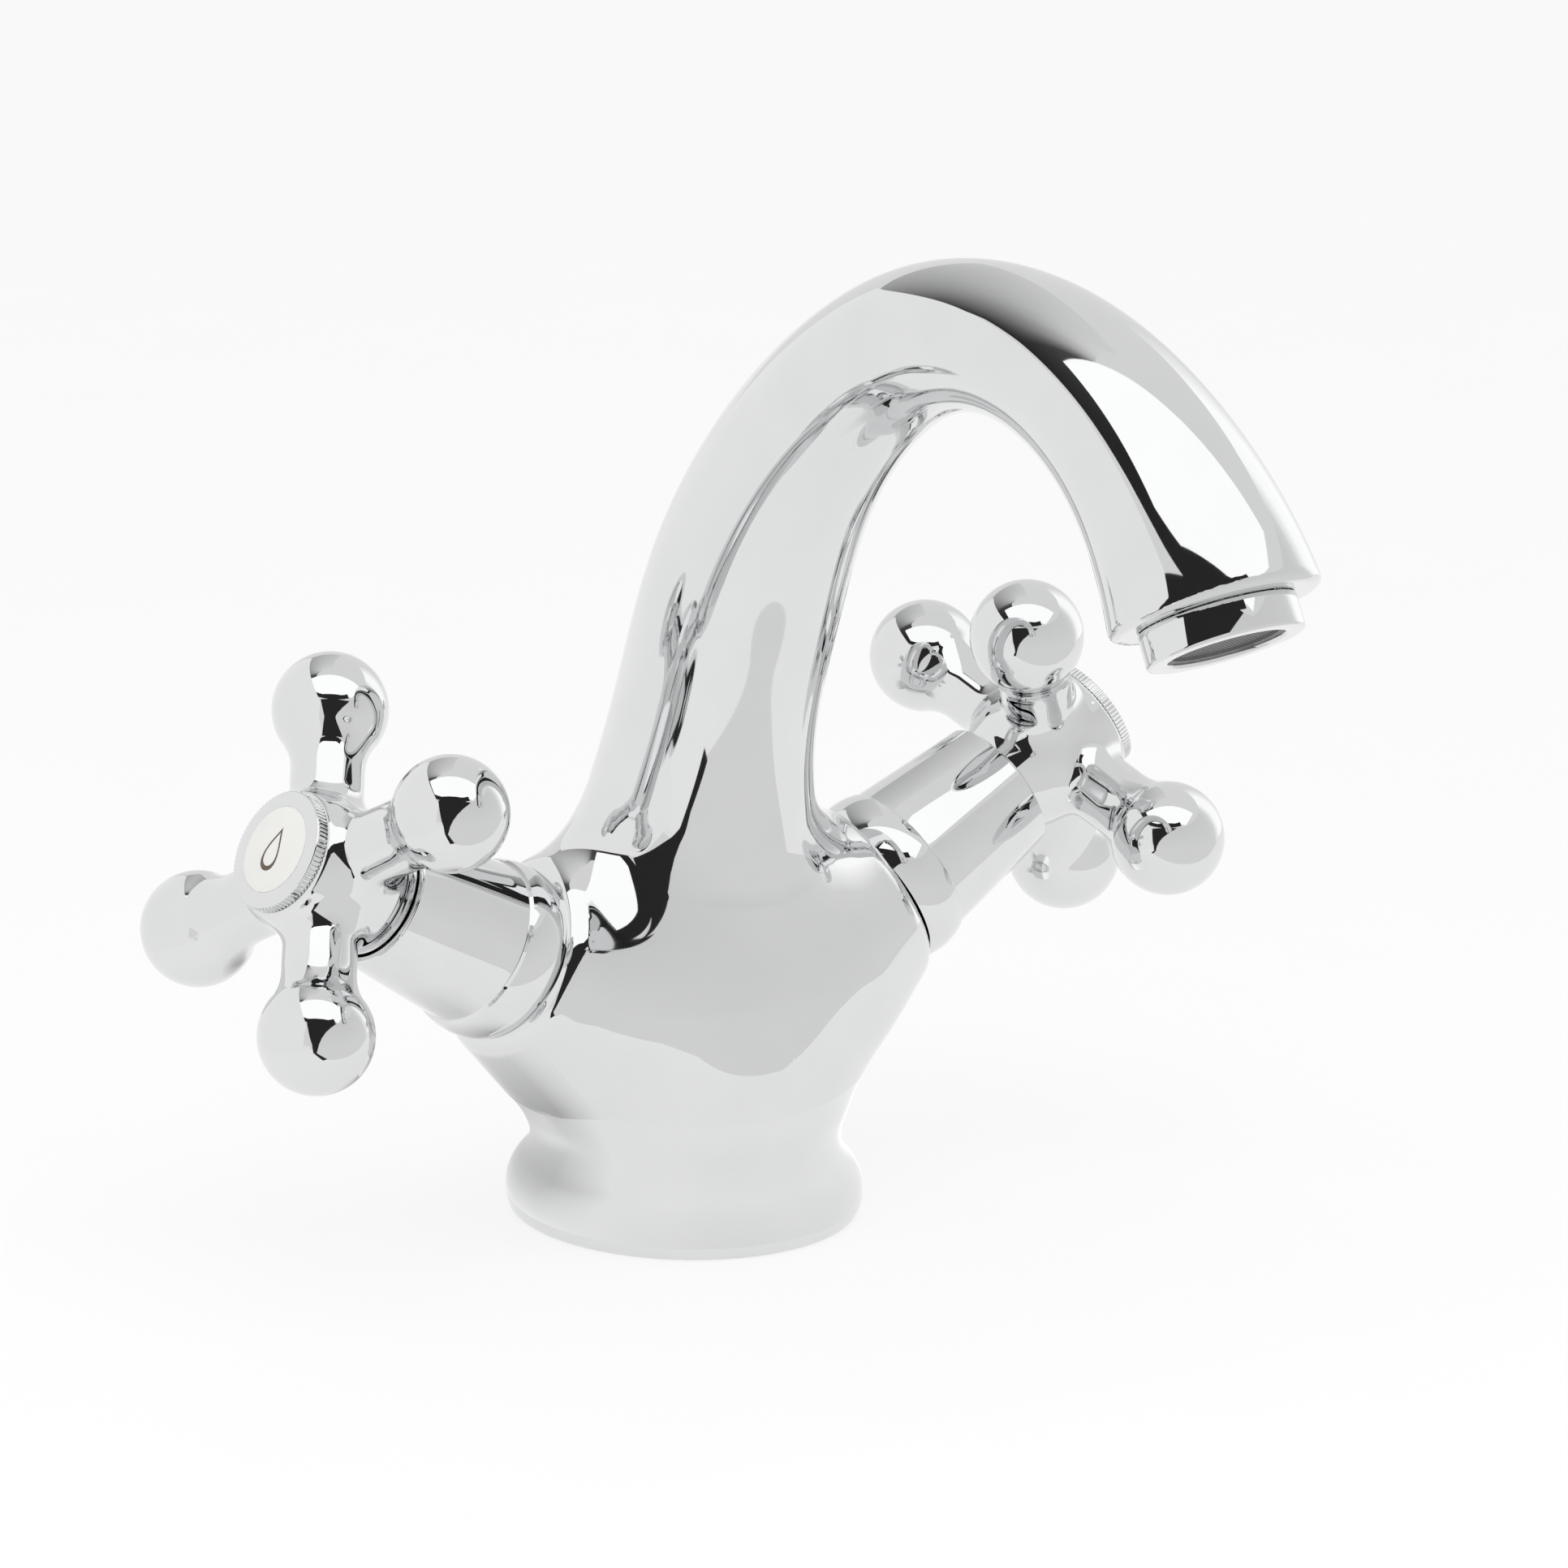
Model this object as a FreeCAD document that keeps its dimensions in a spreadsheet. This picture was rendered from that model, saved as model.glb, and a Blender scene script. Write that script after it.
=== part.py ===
import FreeCAD
import Part
import Sketcher

import math
import os
import re

# A two-handle basin tap: one brass casting with foot, valve bosses, column and arched spout,
# two quarter-turn ceramic valves under tapered covers, and two cross handles.
# Millimetres and degrees. The origin is the middle of the foot on the deck, +Z is up,
# the spout reaches towards -Y, the hot valve leans towards -X and the cold one towards +X.

# Driving dimensions. Along a valve, places are measured on its axis from where it crosses Z.
SIZES = {
    # foot, waist and chest of the casting
    "foot_radius": 26.0,
    "foot_base_radius": 25.2,
    "foot_widest_height": 3.2,
    "waist_radius": 22.3,
    "waist_height": 12.4,
    "chest_top_radius": 18.5,
    "chest_top": 46.0,
    "chest_bulge_radius": 90.0,
    # centre line of column and spout: three tangent bends, each up to its own lean from upright
    "column_start": 36.6,
    "column_bend_radius": 157.1,
    "column_lean": 23.4,
    "shoulder_bend_radius": 83.6,
    "shoulder_lean": 57.6,
    "arch_bend_radius": 53.8,
    "outlet_lean": 150.0,
    # outside radius at stations along that line
    "column_root_half_width": 26.0,
    "column_root_half_depth": 19.0,
    "column_flare_half_width": 20.6,
    "column_flare_half_depth": 18.2,
    "column_middle_radius": 15.7,
    "neck_radius": 14.1,
    "shoulder_middle_radius": 12.3,
    "shoulder_radius": 11.1,
    "crown_radius": 10.6,
    "nose_radius": 11.9,
    "outlet_radius": 14.9,
    "outlet_lip_radius": 1.5,
    "waterway_radius": 6.5,
    # valve axes and bosses
    "valve_height": 25.0,
    "valve_rise": 29.2,
    "boss_root_radius": 19.3,
    "boss_shoulder": 14.0,
    "boss_face": 36.7,
    "boss_face_radius": 13.2,
    # underside: recess, gasket groove, hose inlets and stud hole
    "recess_radius": 20.0,
    "recess_depth": 13.0,
    "gasket_inner_radius": 21.5,
    "gasket_outer_radius": 23.8,
    "gasket_depth": 1.5,
    "gasket_clearance": 0.1,
    "inlet_spread": 8.2,
    "inlet_forward": 3.5,
    "inlet_thread_radius": 4.5,
    "inlet_depth": 12.0,
    "inlet_passage_radius": 3.2,
    "inlet_passage_length": 5.5,
    "stud_back": 9.5,
    "stud_thread_radius": 3.4,
    "stud_depth": 14.0,
    # valve cavity in each boss
    "seat_place": 14.0,
    "seat_passage_radius": 3.6,
    "seat_passage_length": 7.0,
    "chamber_radius": 8.9,
    "chamber_length": 10.0,
    "link_place": 18.0,
    "link_radius": 3.0,
    "link_length": 22.0,
    # fits
    "thread_clearance": 0.05,
    "running_clearance": 0.05,
    "seal_clearance": 0.1,
    "disc_gap": 0.02,
    # headwork
    "bonnet_thread_radius": 9.0,
    "bonnet_seal_section": 0.7,
    "hexagon_across": 19.0,
    "hexagon_height": 5.3,
    "cover_thread_radius": 10.2,
    "cover_thread_length": 5.0,
    "bonnet_neck_radius": 6.4,
    "bonnet_neck_length": 8.0,
    "cage_wall": 0.8,
    "cage_lift": 0.6,
    "cage_window_radius": 1.1,
    "seat_seal_thickness": 1.8,
    "seat_seal_width": 1.1,
    "disc_radius": 7.3,
    "disc_thickness": 3.2,
    "port_radius": 1.9,
    "port_circle_radius": 4.2,
    "slide_washer_thickness": 0.8,
    # spindle
    "shaft_radius": 4.0,
    "driver_radius": 5.2,
    "driver_height": 2.6,
    "tongue_width": 2.6,
    "tongue_length": 9.0,
    "tongue_depth": 1.2,
    "ring_section": 0.7,
    "lower_ring_above_hexagon": 3.0,
    "ring_spacing": 5.5,
    "clip_thickness": 0.8,
    "clip_radius": 5.6,
    "clip_groove_radius": 3.3,
    "clip_gap": 0.1,
    "square_side": 5.6,
    "square_length": 10.0,
    "square_gap": 1.5,
    "handle_screw_radius": 2.0,
    "handle_screw_grip": 10.0,
    # valve cover
    "cover_length": 25.7,
    "cover_bead_radius": 13.1,
    "cover_bead_edge_radius": 12.5,
    "cover_bead_height": 6.4,
    "cover_root_radius": 11.9,
    "cover_root_height": 8.2,
    "cover_mouth_radius": 10.2,
    "cover_wall": 1.1,
    "cover_socket_clearance": 0.3,
    # cross handle
    "arm_plane": 72.2,
    "hub_skirt_radius": 7.9,
    "hub_skirt_drop": 12.9,
    "hub_skirt_height": 2.7,
    "hub_belly_radius": 10.4,
    "hub_top_radius": 9.3,
    "hub_top_rise": 7.5,
    "ball_circle_radius": 25.8,
    "ball_radius": 8.35,
    "arm_neck_radius": 5.3,
    "arm_fillet_radius": 9.05,
    "screw_floor": 3.0,
    "screw_head_radius": 3.6,
    "screw_head_height": 2.4,
    "screw_head_clearance": 0.4,
    "screw_socket_across": 3.0,
    "screw_socket_depth": 1.5,
    "hot_turn": 34.8,
    "cold_turn": 22.8,
    # index
    "index_thread_radius": 7.0,
    "index_thread_length": 3.5,
    "index_bore_spare": 0.7,
    "index_ring_radius": 8.9,
    "index_ring_height": 1.9,
    "index_ring_bore_radius": 5.0,
    "index_disc_radius": 6.3,
    "index_disc_thickness": 1.0,
    "index_disc_crown": 0.3,
    "index_disc_sink": 0.8,
    # aerator
    "aerator_thread_radius": 10.0,
    "aerator_thread_length": 7.0,
    "aerator_bore_depth": 9.0,
    "aerator_ring_radius": 11.0,
    "aerator_ring_height": 5.0,
    "aerator_wall": 1.4,
    "aerator_lip_width": 0.5,
    "aerator_lip_height": 0.8,
    "aerator_seal_thickness": 1.9,
    "aerator_seal_inner_radius": 7.4,
    "screen_thickness": 0.4,
    "insert_floor": 2.2,
    "insert_wall": 1.0,
    "insert_recess": 1.2,
    "jet_hole_radius": 0.8,
    "jet_ring_step": 2.3,
    "screen_hole_radius": 0.55,
}

# Places and sizes that follow from the driving dimensions
PLACES = {
    "foot_curve_radius": "((foot_radius - waist_radius) ^ 2 + (waist_height - foot_widest_height) ^ 2)"
                         " / (4 * (foot_radius - waist_radius))",
    "foot_edge_radius": "((foot_radius - foot_base_radius) ^ 2 + foot_widest_height ^ 2)"
                        " / (2 * (foot_radius - foot_base_radius))",
    "boss_curve_radius": "((boss_root_radius - boss_face_radius) ^ 2 + (boss_face - boss_shoulder) ^ 2)"
                         " / (2 * (boss_root_radius - boss_face_radius))",
    "column_end_y": "-column_bend_radius * (1 - cos(column_lean))",
    "column_end_z": "column_start + column_bend_radius * sin(column_lean)",
    "shoulder_centre_y": "column_end_y - shoulder_bend_radius * cos(column_lean)",
    "shoulder_centre_z": "column_end_z - shoulder_bend_radius * sin(column_lean)",
    "shoulder_end_y": "shoulder_centre_y + shoulder_bend_radius * cos(shoulder_lean)",
    "shoulder_end_z": "shoulder_centre_z + shoulder_bend_radius * sin(shoulder_lean)",
    "arch_centre_y": "shoulder_end_y - arch_bend_radius * cos(shoulder_lean)",
    "arch_centre_z": "shoulder_end_z - arch_bend_radius * sin(shoulder_lean)",
    "outlet_y": "arch_centre_y + arch_bend_radius * cos(outlet_lean)",
    "outlet_z": "arch_centre_z + arch_bend_radius * sin(outlet_lean)",
    "aerator_y": "outlet_y + aerator_bore_depth * sin(outlet_lean)",
    "aerator_z": "outlet_z - aerator_bore_depth * cos(outlet_lean)",
    "seal_recess_radius": "bonnet_thread_radius + 2 * bonnet_seal_section + 3 * seal_clearance",
    "seal_recess_depth": "2 * bonnet_seal_section + seal_clearance",
    "bonnet_seal_radius": "bonnet_thread_radius + bonnet_seal_section + 2 * seal_clearance",
    "chamber_end": "seat_place + chamber_length",
    "fixed_disc_place": "seat_place + seat_seal_thickness",
    "moving_disc_place": "fixed_disc_place + disc_thickness + disc_gap",
    "driver_place": "moving_disc_place + disc_thickness",
    "driver_top": "driver_place + driver_height",
    "cage_bore_radius": "disc_radius + seal_clearance",
    "cage_radius": "cage_bore_radius + cage_wall",
    "cage_ceiling": "driver_top + slide_washer_thickness + disc_gap",
    "shaft_bore_radius": "shaft_radius + running_clearance",
    "hexagon_top": "boss_face + hexagon_height",
    "cover_thread_top": "hexagon_top + cover_thread_length",
    "bonnet_top": "cover_thread_top + bonnet_neck_length",
    "hexagon_corner_radius": "hexagon_across / 2 / cos(30)",
    "cover_bead_bulge": "cover_bead_radius - cover_bead_edge_radius",
    "cover_bead_round": "(cover_bead_bulge ^ 2 + cover_bead_height ^ 2 / 4) / (2 * cover_bead_bulge)",
    "cover_socket_radius": "hexagon_corner_radius + cover_socket_clearance",
    "cover_mouth": "boss_face + cover_length",
    "ring_groove_radius": "shaft_bore_radius - 2 * ring_section - 2 * disc_gap",
    "ring_centre_radius": "shaft_bore_radius - ring_section - disc_gap",
    "lower_ring_place": "hexagon_top + lower_ring_above_hexagon",
    "ring_groove_half": "ring_section + seal_clearance",
    "clip_place": "bonnet_top + clip_gap",
    "clip_top": "clip_place + clip_thickness",
    "square_start": "clip_top + square_gap",
    "spindle_top": "square_start + square_length",
    "hub_bottom": "arm_plane - hub_skirt_drop",
    "hub_top": "arm_plane + hub_top_rise",
    "hub_skirt_top": "hub_bottom + hub_skirt_height",
    "hub_lower_radius": "((hub_belly_radius - hub_skirt_radius) ^ 2 + (arm_plane - hub_skirt_top) ^ 2)"
                        " / (2 * (hub_belly_radius - hub_skirt_radius))",
    "hub_upper_radius": "((hub_belly_radius - hub_top_radius) ^ 2 + hub_top_rise ^ 2)"
                        " / (2 * (hub_belly_radius - hub_top_radius))",
    "fillet_offset": "sqrt((arm_fillet_radius + ball_radius) ^ 2"
                     " - (arm_neck_radius + arm_fillet_radius) ^ 2)",
    "fillet_start": "ball_circle_radius - fillet_offset",
    "ball_share": "ball_radius / (ball_radius + arm_fillet_radius)",
    "fillet_end": "ball_circle_radius - fillet_offset * ball_share",
    "fillet_end_radius": "(arm_neck_radius + arm_fillet_radius) * ball_share",
    "screw_hole_floor": "spindle_top + disc_gap",
    "screw_seat": "screw_hole_floor + screw_floor",
    "screw_bottom": "spindle_top - handle_screw_grip",
    "screw_head_top": "screw_seat + screw_head_height",
    "index_bore_floor": "hub_top - index_thread_length - index_bore_spare",
    "index_top": "hub_top + index_ring_height",
    "index_seat": "index_top - index_disc_sink",
    "index_dome_radius": "(index_disc_radius ^ 2 + index_disc_crown ^ 2) / (2 * index_disc_crown)",
    "aerator_thread_start": "aerator_bore_depth - aerator_thread_length",
    "aerator_end": "aerator_bore_depth + aerator_ring_height",
    "aerator_inner_radius": "aerator_thread_radius - aerator_wall",
    "aerator_lip_radius": "aerator_inner_radius - aerator_lip_width",
    "insert_radius": "aerator_inner_radius - thread_clearance",
    "insert_start": "aerator_thread_start + screen_thickness",
    "insert_end": "aerator_end - aerator_lip_height",
    "insert_jet_start": "insert_end - insert_recess - insert_floor",
    "insert_jet_end": "insert_end - insert_recess",
}

doc = FreeCAD.newDocument("basin_tap")
sheet = doc.addObject("Spreadsheet::Sheet", "Sizes")
for row, (size_name, size) in enumerate(SIZES.items(), start=1):
    sheet.set(f"A{row}", size_name)
    sheet.set(f"B{row}", str(size))
    sheet.setAlias(f"B{row}", size_name)
doc.recompute()


def formula(text):
    """Write a formula of sizes and places as an expression on the sheet's cells."""
    def cell(match):
        word = match.group()
        if word in PLACES:
            return f"({formula(PLACES[word])})"
        if word in SIZES:
            return f"Sizes.{word}"
        return word
    return re.sub(r"[a-z_]+", cell, str(text))


def bind(thing, property_name, text):
    thing.setExpression(property_name, formula(text))


def place(x="0", y="0", z="0", turn="0", about="1; 0; 0"):
    """Placement expression: a point, and a turn about an axis through it."""
    return f"placement(vector({x}; {y}; {z}); rotation(vector({about}); {turn}))"


def new_body(label, placement=None):
    body = doc.addObject("PartDesign::Body", label)
    body.Label = label
    if placement:
        bind(body, "Placement", placement)
    return body


def attach(thing, body, plane, offset):
    """Set a sketch or a primitive on one of its body's own planes."""
    for feature in body.Origin.OriginFeatures:
        if getattr(feature, "Role", "") == plane:
            thing.AttachmentSupport = [(feature, "")]
    thing.MapMode = "FlatFace"
    if offset:
        bind(thing, "AttachmentOffset", offset)


def arc_between(start, end, radius, side):
    """Circular arc from start to end; side 1 keeps its centre on the left, -1 on the right."""
    middle = (start + end) * 0.5
    chord = end - start
    half = chord.Length / 2
    reach = math.sqrt(radius ** 2 - half ** 2)
    left = FreeCAD.Vector(-chord.y, chord.x, 0).normalize()
    centre = middle + left * (reach * side)
    circle = Part.Circle(centre, FreeCAD.Vector(0, 0, 1), radius)
    first, last = (start, end) if side > 0 else (end, start)
    angles = [math.atan2(point.y - centre.y, point.x - centre.x) for point in (first, last)]
    return Part.ArcOfCircle(circle, *angles)


def outline(body, name, corners, plane="XZ_Plane", offset=None, closed=True):
    """Sketch through corners (across, along). A corner may carry the radius and side of the
    arc that leads on from it, otherwise a straight line does. An arc whose radius comes out
    negative bends the other way."""
    sketch = body.newObject("Sketcher::SketchObject", name)
    attach(sketch, body, plane, offset)
    points = [FreeCAD.Vector(*[float(sheet.evalExpression(formula(text))) for text in corner[:2]], 0)
              for corner in corners]
    count = len(corners) if closed else len(corners) - 1
    edges = []
    for index in range(count):
        start, end = points[index], points[(index + 1) % len(points)]
        if len(corners[index]) == 4:
            radius, side = corners[index][2:]
            radius_now = float(sheet.evalExpression(formula(radius)))
            if radius_now < 0:
                side = -side
            curve = arc_between(start, end, abs(radius_now), side)
            edge = sketch.addGeometry(curve)
            edges.append((edge, 1, 2) if side > 0 else (edge, 2, 1))
            number = sketch.addConstraint(Sketcher.Constraint("Radius", edge, curve.Radius))
            bind(sketch, f"Constraints[{number}]", f"abs({radius})")
        else:
            edges.append((sketch.addGeometry(Part.LineSegment(start, end)), 1, 2))
    for index in range(count):
        edge, first, last = edges[index]
        if closed or index < count - 1:
            after, after_first, after_last = edges[(index + 1) % count]
            sketch.addConstraint(Sketcher.Constraint("Coincident", edge, last, after, after_first))
        fix_corner(sketch, edge, first, corners[index], points[index])
    if not closed:
        edge, first, last = edges[-1]
        fix_corner(sketch, edge, last, corners[-1], points[-1])
    return sketch


def fix_corner(sketch, edge, end, corner, point):
    """Tie one end of an edge to its two coordinates."""
    ties = (("DistanceX", -2, corner[0], point.x), ("DistanceY", -1, corner[1], point.y))
    for kind, axis, text, amount in ties:
        if str(text) == "0":
            sketch.addConstraint(Sketcher.Constraint("PointOnObject", edge, end, axis))
        else:
            number = sketch.addConstraint(Sketcher.Constraint(kind, -1, 1, edge, end, amount))
            bind(sketch, f"Constraints[{number}]", text)


def revolved(body, name, corners, cut=False, offset=None, axis="V_Axis"):
    """Turn an outline round its own upright (or level) axis, adding or cutting."""
    sketch = outline(body, f"{name}_outline", corners, offset=offset)
    feature = body.newObject("PartDesign::Groove" if cut else "PartDesign::Revolution", name)
    feature.Profile = sketch
    feature.ReferenceAxis = (sketch, [axis])
    feature.Angle = 360
    return feature


def ring(body, name, inner, outer, low, high, cut=False):
    return revolved(body, name, [(inner, low), (outer, low), (outer, high), (inner, high)], cut=cut)


def primitive(body, kind, name, offset, **sizes):
    """Box, cylinder, prism or torus that adds to or cuts its body."""
    feature = body.newObject(f"PartDesign::{kind}", name)
    attach(feature, body, "XY_Plane", offset)
    for property_name, text in sizes.items():
        bind(feature, property_name, text)
    return feature


def pattern(body, name, feature, copies):
    """Repeat a feature evenly round the body's own Z axis."""
    repeat = body.newObject("PartDesign::PolarPattern", name)
    repeat.Originals = [feature]
    for axis in body.Origin.OriginFeatures:
        if getattr(axis, "Role", "") == "Z_Axis":
            repeat.Axis = (axis, [""])
    repeat.Angle = 360
    repeat.Occurrences = copies
    body.Tip = repeat
    return repeat


def oval_sketch(body, name, half_width, half_depth, offset):
    """Ellipse round the sketch's origin, wide across and less deep."""
    sketch = body.newObject("Sketcher::SketchObject", name)
    attach(sketch, body, "XY_Plane", offset)
    wide, deep = [float(sheet.evalExpression(formula(text))) for text in (half_width, half_depth)]
    oval = sketch.addGeometry(Part.Ellipse(FreeCAD.Vector(0, 0, 0), wide, deep))
    sketch.exposeInternalGeometry(oval)
    long_axis, short_axis = oval + 1, oval + 2
    sketch.addConstraint(Sketcher.Constraint("Coincident", oval, 3, -1, 1))
    sketch.addConstraint(Sketcher.Constraint("PointOnObject", long_axis, 1, -1))
    for axis, text, amount in ((long_axis, half_width, wide), (short_axis, half_depth, deep)):
        number = sketch.addConstraint(Sketcher.Constraint("Distance", axis, 2 * amount))
        bind(sketch, f"Constraints[{number}]", f"2 * {text}")
    return sketch


def circle_sketch(body, name, radius, offset):
    sketch = body.newObject("Sketcher::SketchObject", name)
    attach(sketch, body, "XY_Plane", offset)
    size_now = float(sheet.evalExpression(formula(radius)))
    sketch.addGeometry(Part.Circle(FreeCAD.Vector(0, 0, 0), FreeCAD.Vector(0, 0, 1), size_now))
    sketch.addConstraint(Sketcher.Constraint("Coincident", 0, 3, -1, 1))
    number = sketch.addConstraint(Sketcher.Constraint("Radius", 0, size_now))
    bind(sketch, f"Constraints[{number}]", radius)
    return sketch


# Each valve: name, the side its axis leans to, and the turn of its handle at rest
VALVES = (("hot", -1, "hot_turn"), ("cold", 1, "cold_turn"))


def valve_frame(side, turn="0"):
    """Frame with Z along a valve's axis, turned about it."""
    lean = f"rotation(vector(0; 1; 0); {side} * (90 - valve_rise))"
    return f"placement(vector(0; 0; valve_height); {lean} * rotation(vector(0; 0; 1); {turn}))"


def station(lean, centre_y, centre_z, bend):
    """Placement of a cross-section on a bend of the spout's centre line."""
    return place(y=f"{centre_y} + {bend} * cos({lean})", z=f"{centre_z} + {bend} * sin({lean})", turn=lean)


def tap_body():
    body = new_body("tap_body")
    mid_radius = "(foot_radius + waist_radius) / 2"
    mid_height = "(foot_widest_height + waist_height) / 2"
    revolved(body, "foot_and_chest", [
        ("0", "0"),
        ("foot_base_radius", "0", "foot_edge_radius", 1),
        ("foot_radius", "foot_widest_height", "foot_curve_radius", 1),
        (mid_radius, mid_height, "foot_curve_radius", -1),
        ("waist_radius", "waist_height", "chest_bulge_radius", 1),
        ("chest_top_radius", "chest_top"),
        ("0", "chest_top"),
    ])
    column = ("-column_bend_radius", "column_start", "column_bend_radius")
    shoulder = ("shoulder_centre_y", "shoulder_centre_z", "shoulder_bend_radius")
    arch = ("arch_centre_y", "arch_centre_z", "arch_bend_radius")
    ovals = [
        ("column_root", station("0", *column)),
        ("column_flare", station("column_lean / 4", *column)),
    ]
    sections = [
        ("column_middle_radius", station("column_lean / 2", *column)),
        ("neck_radius", station("column_lean", *column)),
        ("shoulder_middle_radius", station("(column_lean + shoulder_lean) / 2", *shoulder)),
        ("shoulder_radius", station("shoulder_lean", *shoulder)),
        ("crown_radius", station("(2 * shoulder_lean + outlet_lean) / 3", *arch)),
        ("nose_radius", station("(shoulder_lean + 2 * outlet_lean) / 3", *arch)),
        ("outlet_radius", station("outlet_lean", *arch)),
    ]
    rims = [oval_sketch(body, f"rim_{name}", f"{name}_half_width", f"{name}_half_depth", offset)
            for name, offset in ovals]
    rims += [circle_sketch(body, f"rim_{radius}", radius, offset) for radius, offset in sections]
    spout = body.newObject("PartDesign::AdditiveLoft", "column_and_spout")
    spout.Profile = rims[0]
    spout.Sections = rims[1:]
    doc.recompute()
    outlet = FreeCAD.Vector(0, *[float(sheet.evalExpression(formula(text)))
                                 for text in ("outlet_y", "outlet_z")])
    distances = [(edge.CenterOfMass - outlet).Length for edge in spout.Shape.Edges]
    rim_edge = distances.index(min(distances)) + 1
    lip = body.newObject("PartDesign::Fillet", "outlet_lip")
    lip.Base = (spout, [f"Edge{rim_edge}"])
    bind(lip, "Radius", "outlet_lip_radius")
    for name, side, _ in VALVES:
        axis_offset = place(y="valve_height", turn=f"{-side} * (90 - valve_rise)", about="0; 0; 1")
        revolved(body, f"boss_{name}", [
            ("0", "0"),
            ("boss_root_radius", "0"),
            ("boss_root_radius", "boss_shoulder", "boss_curve_radius", 1),
            ("boss_face_radius", "boss_face"),
            ("0", "boss_face"),
        ], offset=axis_offset)
    ring(body, "underside_recess", "0", "recess_radius", "0", "recess_depth", cut=True)
    ring(body, "gasket_groove", "gasket_inner_radius", "gasket_outer_radius", "0", "gasket_depth", cut=True)
    primitive(body, "SubtractiveCylinder", "stud_hole", place(y="stud_back", z="recess_depth"),
              Radius="stud_thread_radius", Height="stud_depth")
    water_start = circle_sketch(body, "waterway_rim", "waterway_radius", place(z="column_start"))
    water_line = waterway_line(body)
    waterway = body.newObject("PartDesign::SubtractivePipe", "waterway")
    waterway.Profile = water_start
    waterway.Spine = (water_line, [])
    for name, side, _ in VALVES:
        axis_offset = place(y="valve_height", turn=f"{-side} * (90 - valve_rise)", about="0; 0; 1")
        thread_bore = "bonnet_thread_radius + thread_clearance"
        revolved(body, f"valve_cavity_{name}", [
            ("0", "seat_place - seat_passage_length"),
            ("seat_passage_radius", "seat_place - seat_passage_length"),
            ("seat_passage_radius", "seat_place"),
            ("chamber_radius", "seat_place"),
            ("chamber_radius", "chamber_end"),
            (thread_bore, "chamber_end"),
            (thread_bore, "boss_face - seal_recess_depth"),
            ("seal_recess_radius", "boss_face - seal_recess_depth"),
            ("seal_recess_radius", "boss_face"),
            ("0", "boss_face"),
        ], cut=True, offset=axis_offset)
        inlet = dict(x=f"{side} * inlet_spread", y="-inlet_forward")
        primitive(body, "SubtractiveCylinder", f"inlet_{name}", place(z="recess_depth", **inlet),
                  Radius="inlet_thread_radius", Height="inlet_depth")
        primitive(body, "SubtractiveCylinder", f"inlet_passage_{name}",
                  place(z="recess_depth + inlet_depth", **inlet),
                  Radius="inlet_passage_radius", Height="inlet_passage_length")
        link_start = place(x=f"{side} * link_place * cos(valve_rise)",
                           z="valve_height + link_place * sin(valve_rise)",
                           turn=f"{-side} * valve_rise", about="0; 1; 0")
        primitive(body, "SubtractiveCylinder", f"link_{name}", link_start,
                  Radius="link_radius", Height="link_length")
    primitive(body, "SubtractiveCylinder", "aerator_bore",
              place(y="aerator_y", z="aerator_z", turn="outlet_lean"),
              Radius="aerator_thread_radius + thread_clearance", Height="aerator_bore_depth")
    return body


def waterway_line(body):
    """Centre line of the waterway: the three bends of column and spout."""
    line = outline(body, "waterway_line", [
        ("0", "column_start", "column_bend_radius", 1),
        ("column_end_y", "column_end_z", "shoulder_bend_radius", 1),
        ("shoulder_end_y", "shoulder_end_z", "arch_bend_radius", 1),
        ("outlet_y", "outlet_z"),
    ], plane="YZ_Plane", closed=False)
    return line


def base_gasket():
    body = new_body("base_gasket")
    ring(body, "gasket", "gasket_inner_radius + gasket_clearance", "gasket_outer_radius - gasket_clearance",
         "gasket_clearance", "gasket_depth")
    return body


def aerator():
    """Housing, insert, screen and seal, on the outlet's axis from the bottom of its bore."""
    frame = place(y="aerator_y", z="aerator_z", turn="outlet_lean")
    housing = new_body("aerator_housing", frame)
    revolved(housing, "housing", [
        ("aerator_inner_radius", "aerator_thread_start"),
        ("aerator_thread_radius", "aerator_thread_start"),
        ("aerator_thread_radius", "aerator_bore_depth"),
        ("aerator_ring_radius", "aerator_bore_depth"),
        ("aerator_ring_radius", "aerator_end"),
        ("aerator_lip_radius", "aerator_end"),
        ("aerator_lip_radius", "insert_end"),
        ("aerator_inner_radius", "insert_end"),
    ])
    seal = new_body("aerator_seal", frame)
    ring(seal, "seal", "aerator_seal_inner_radius", "aerator_thread_radius - seal_clearance",
         "aerator_thread_start - aerator_seal_thickness", "aerator_thread_start")
    screen = new_body("aerator_screen", frame)
    ring(screen, "screen", "0", "insert_radius", "aerator_thread_start", "insert_start")
    drill_rings(screen, "screen_hole", "screen_hole_radius", "aerator_thread_start", "screen_thickness")
    insert = new_body("aerator_insert", frame)
    inner = "insert_radius - insert_wall"
    revolved(insert, "insert", [
        ("0", "insert_jet_start"),
        (inner, "insert_jet_start"),
        (inner, "insert_start"),
        ("insert_radius", "insert_start"),
        ("insert_radius", "insert_end"),
        (inner, "insert_end"),
        (inner, "insert_jet_end"),
        ("0", "insert_jet_end"),
    ])
    drill_rings(insert, "jet_hole", "jet_hole_radius", "insert_jet_start", "insert_floor")
    return [housing, seal, screen, insert]


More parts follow.
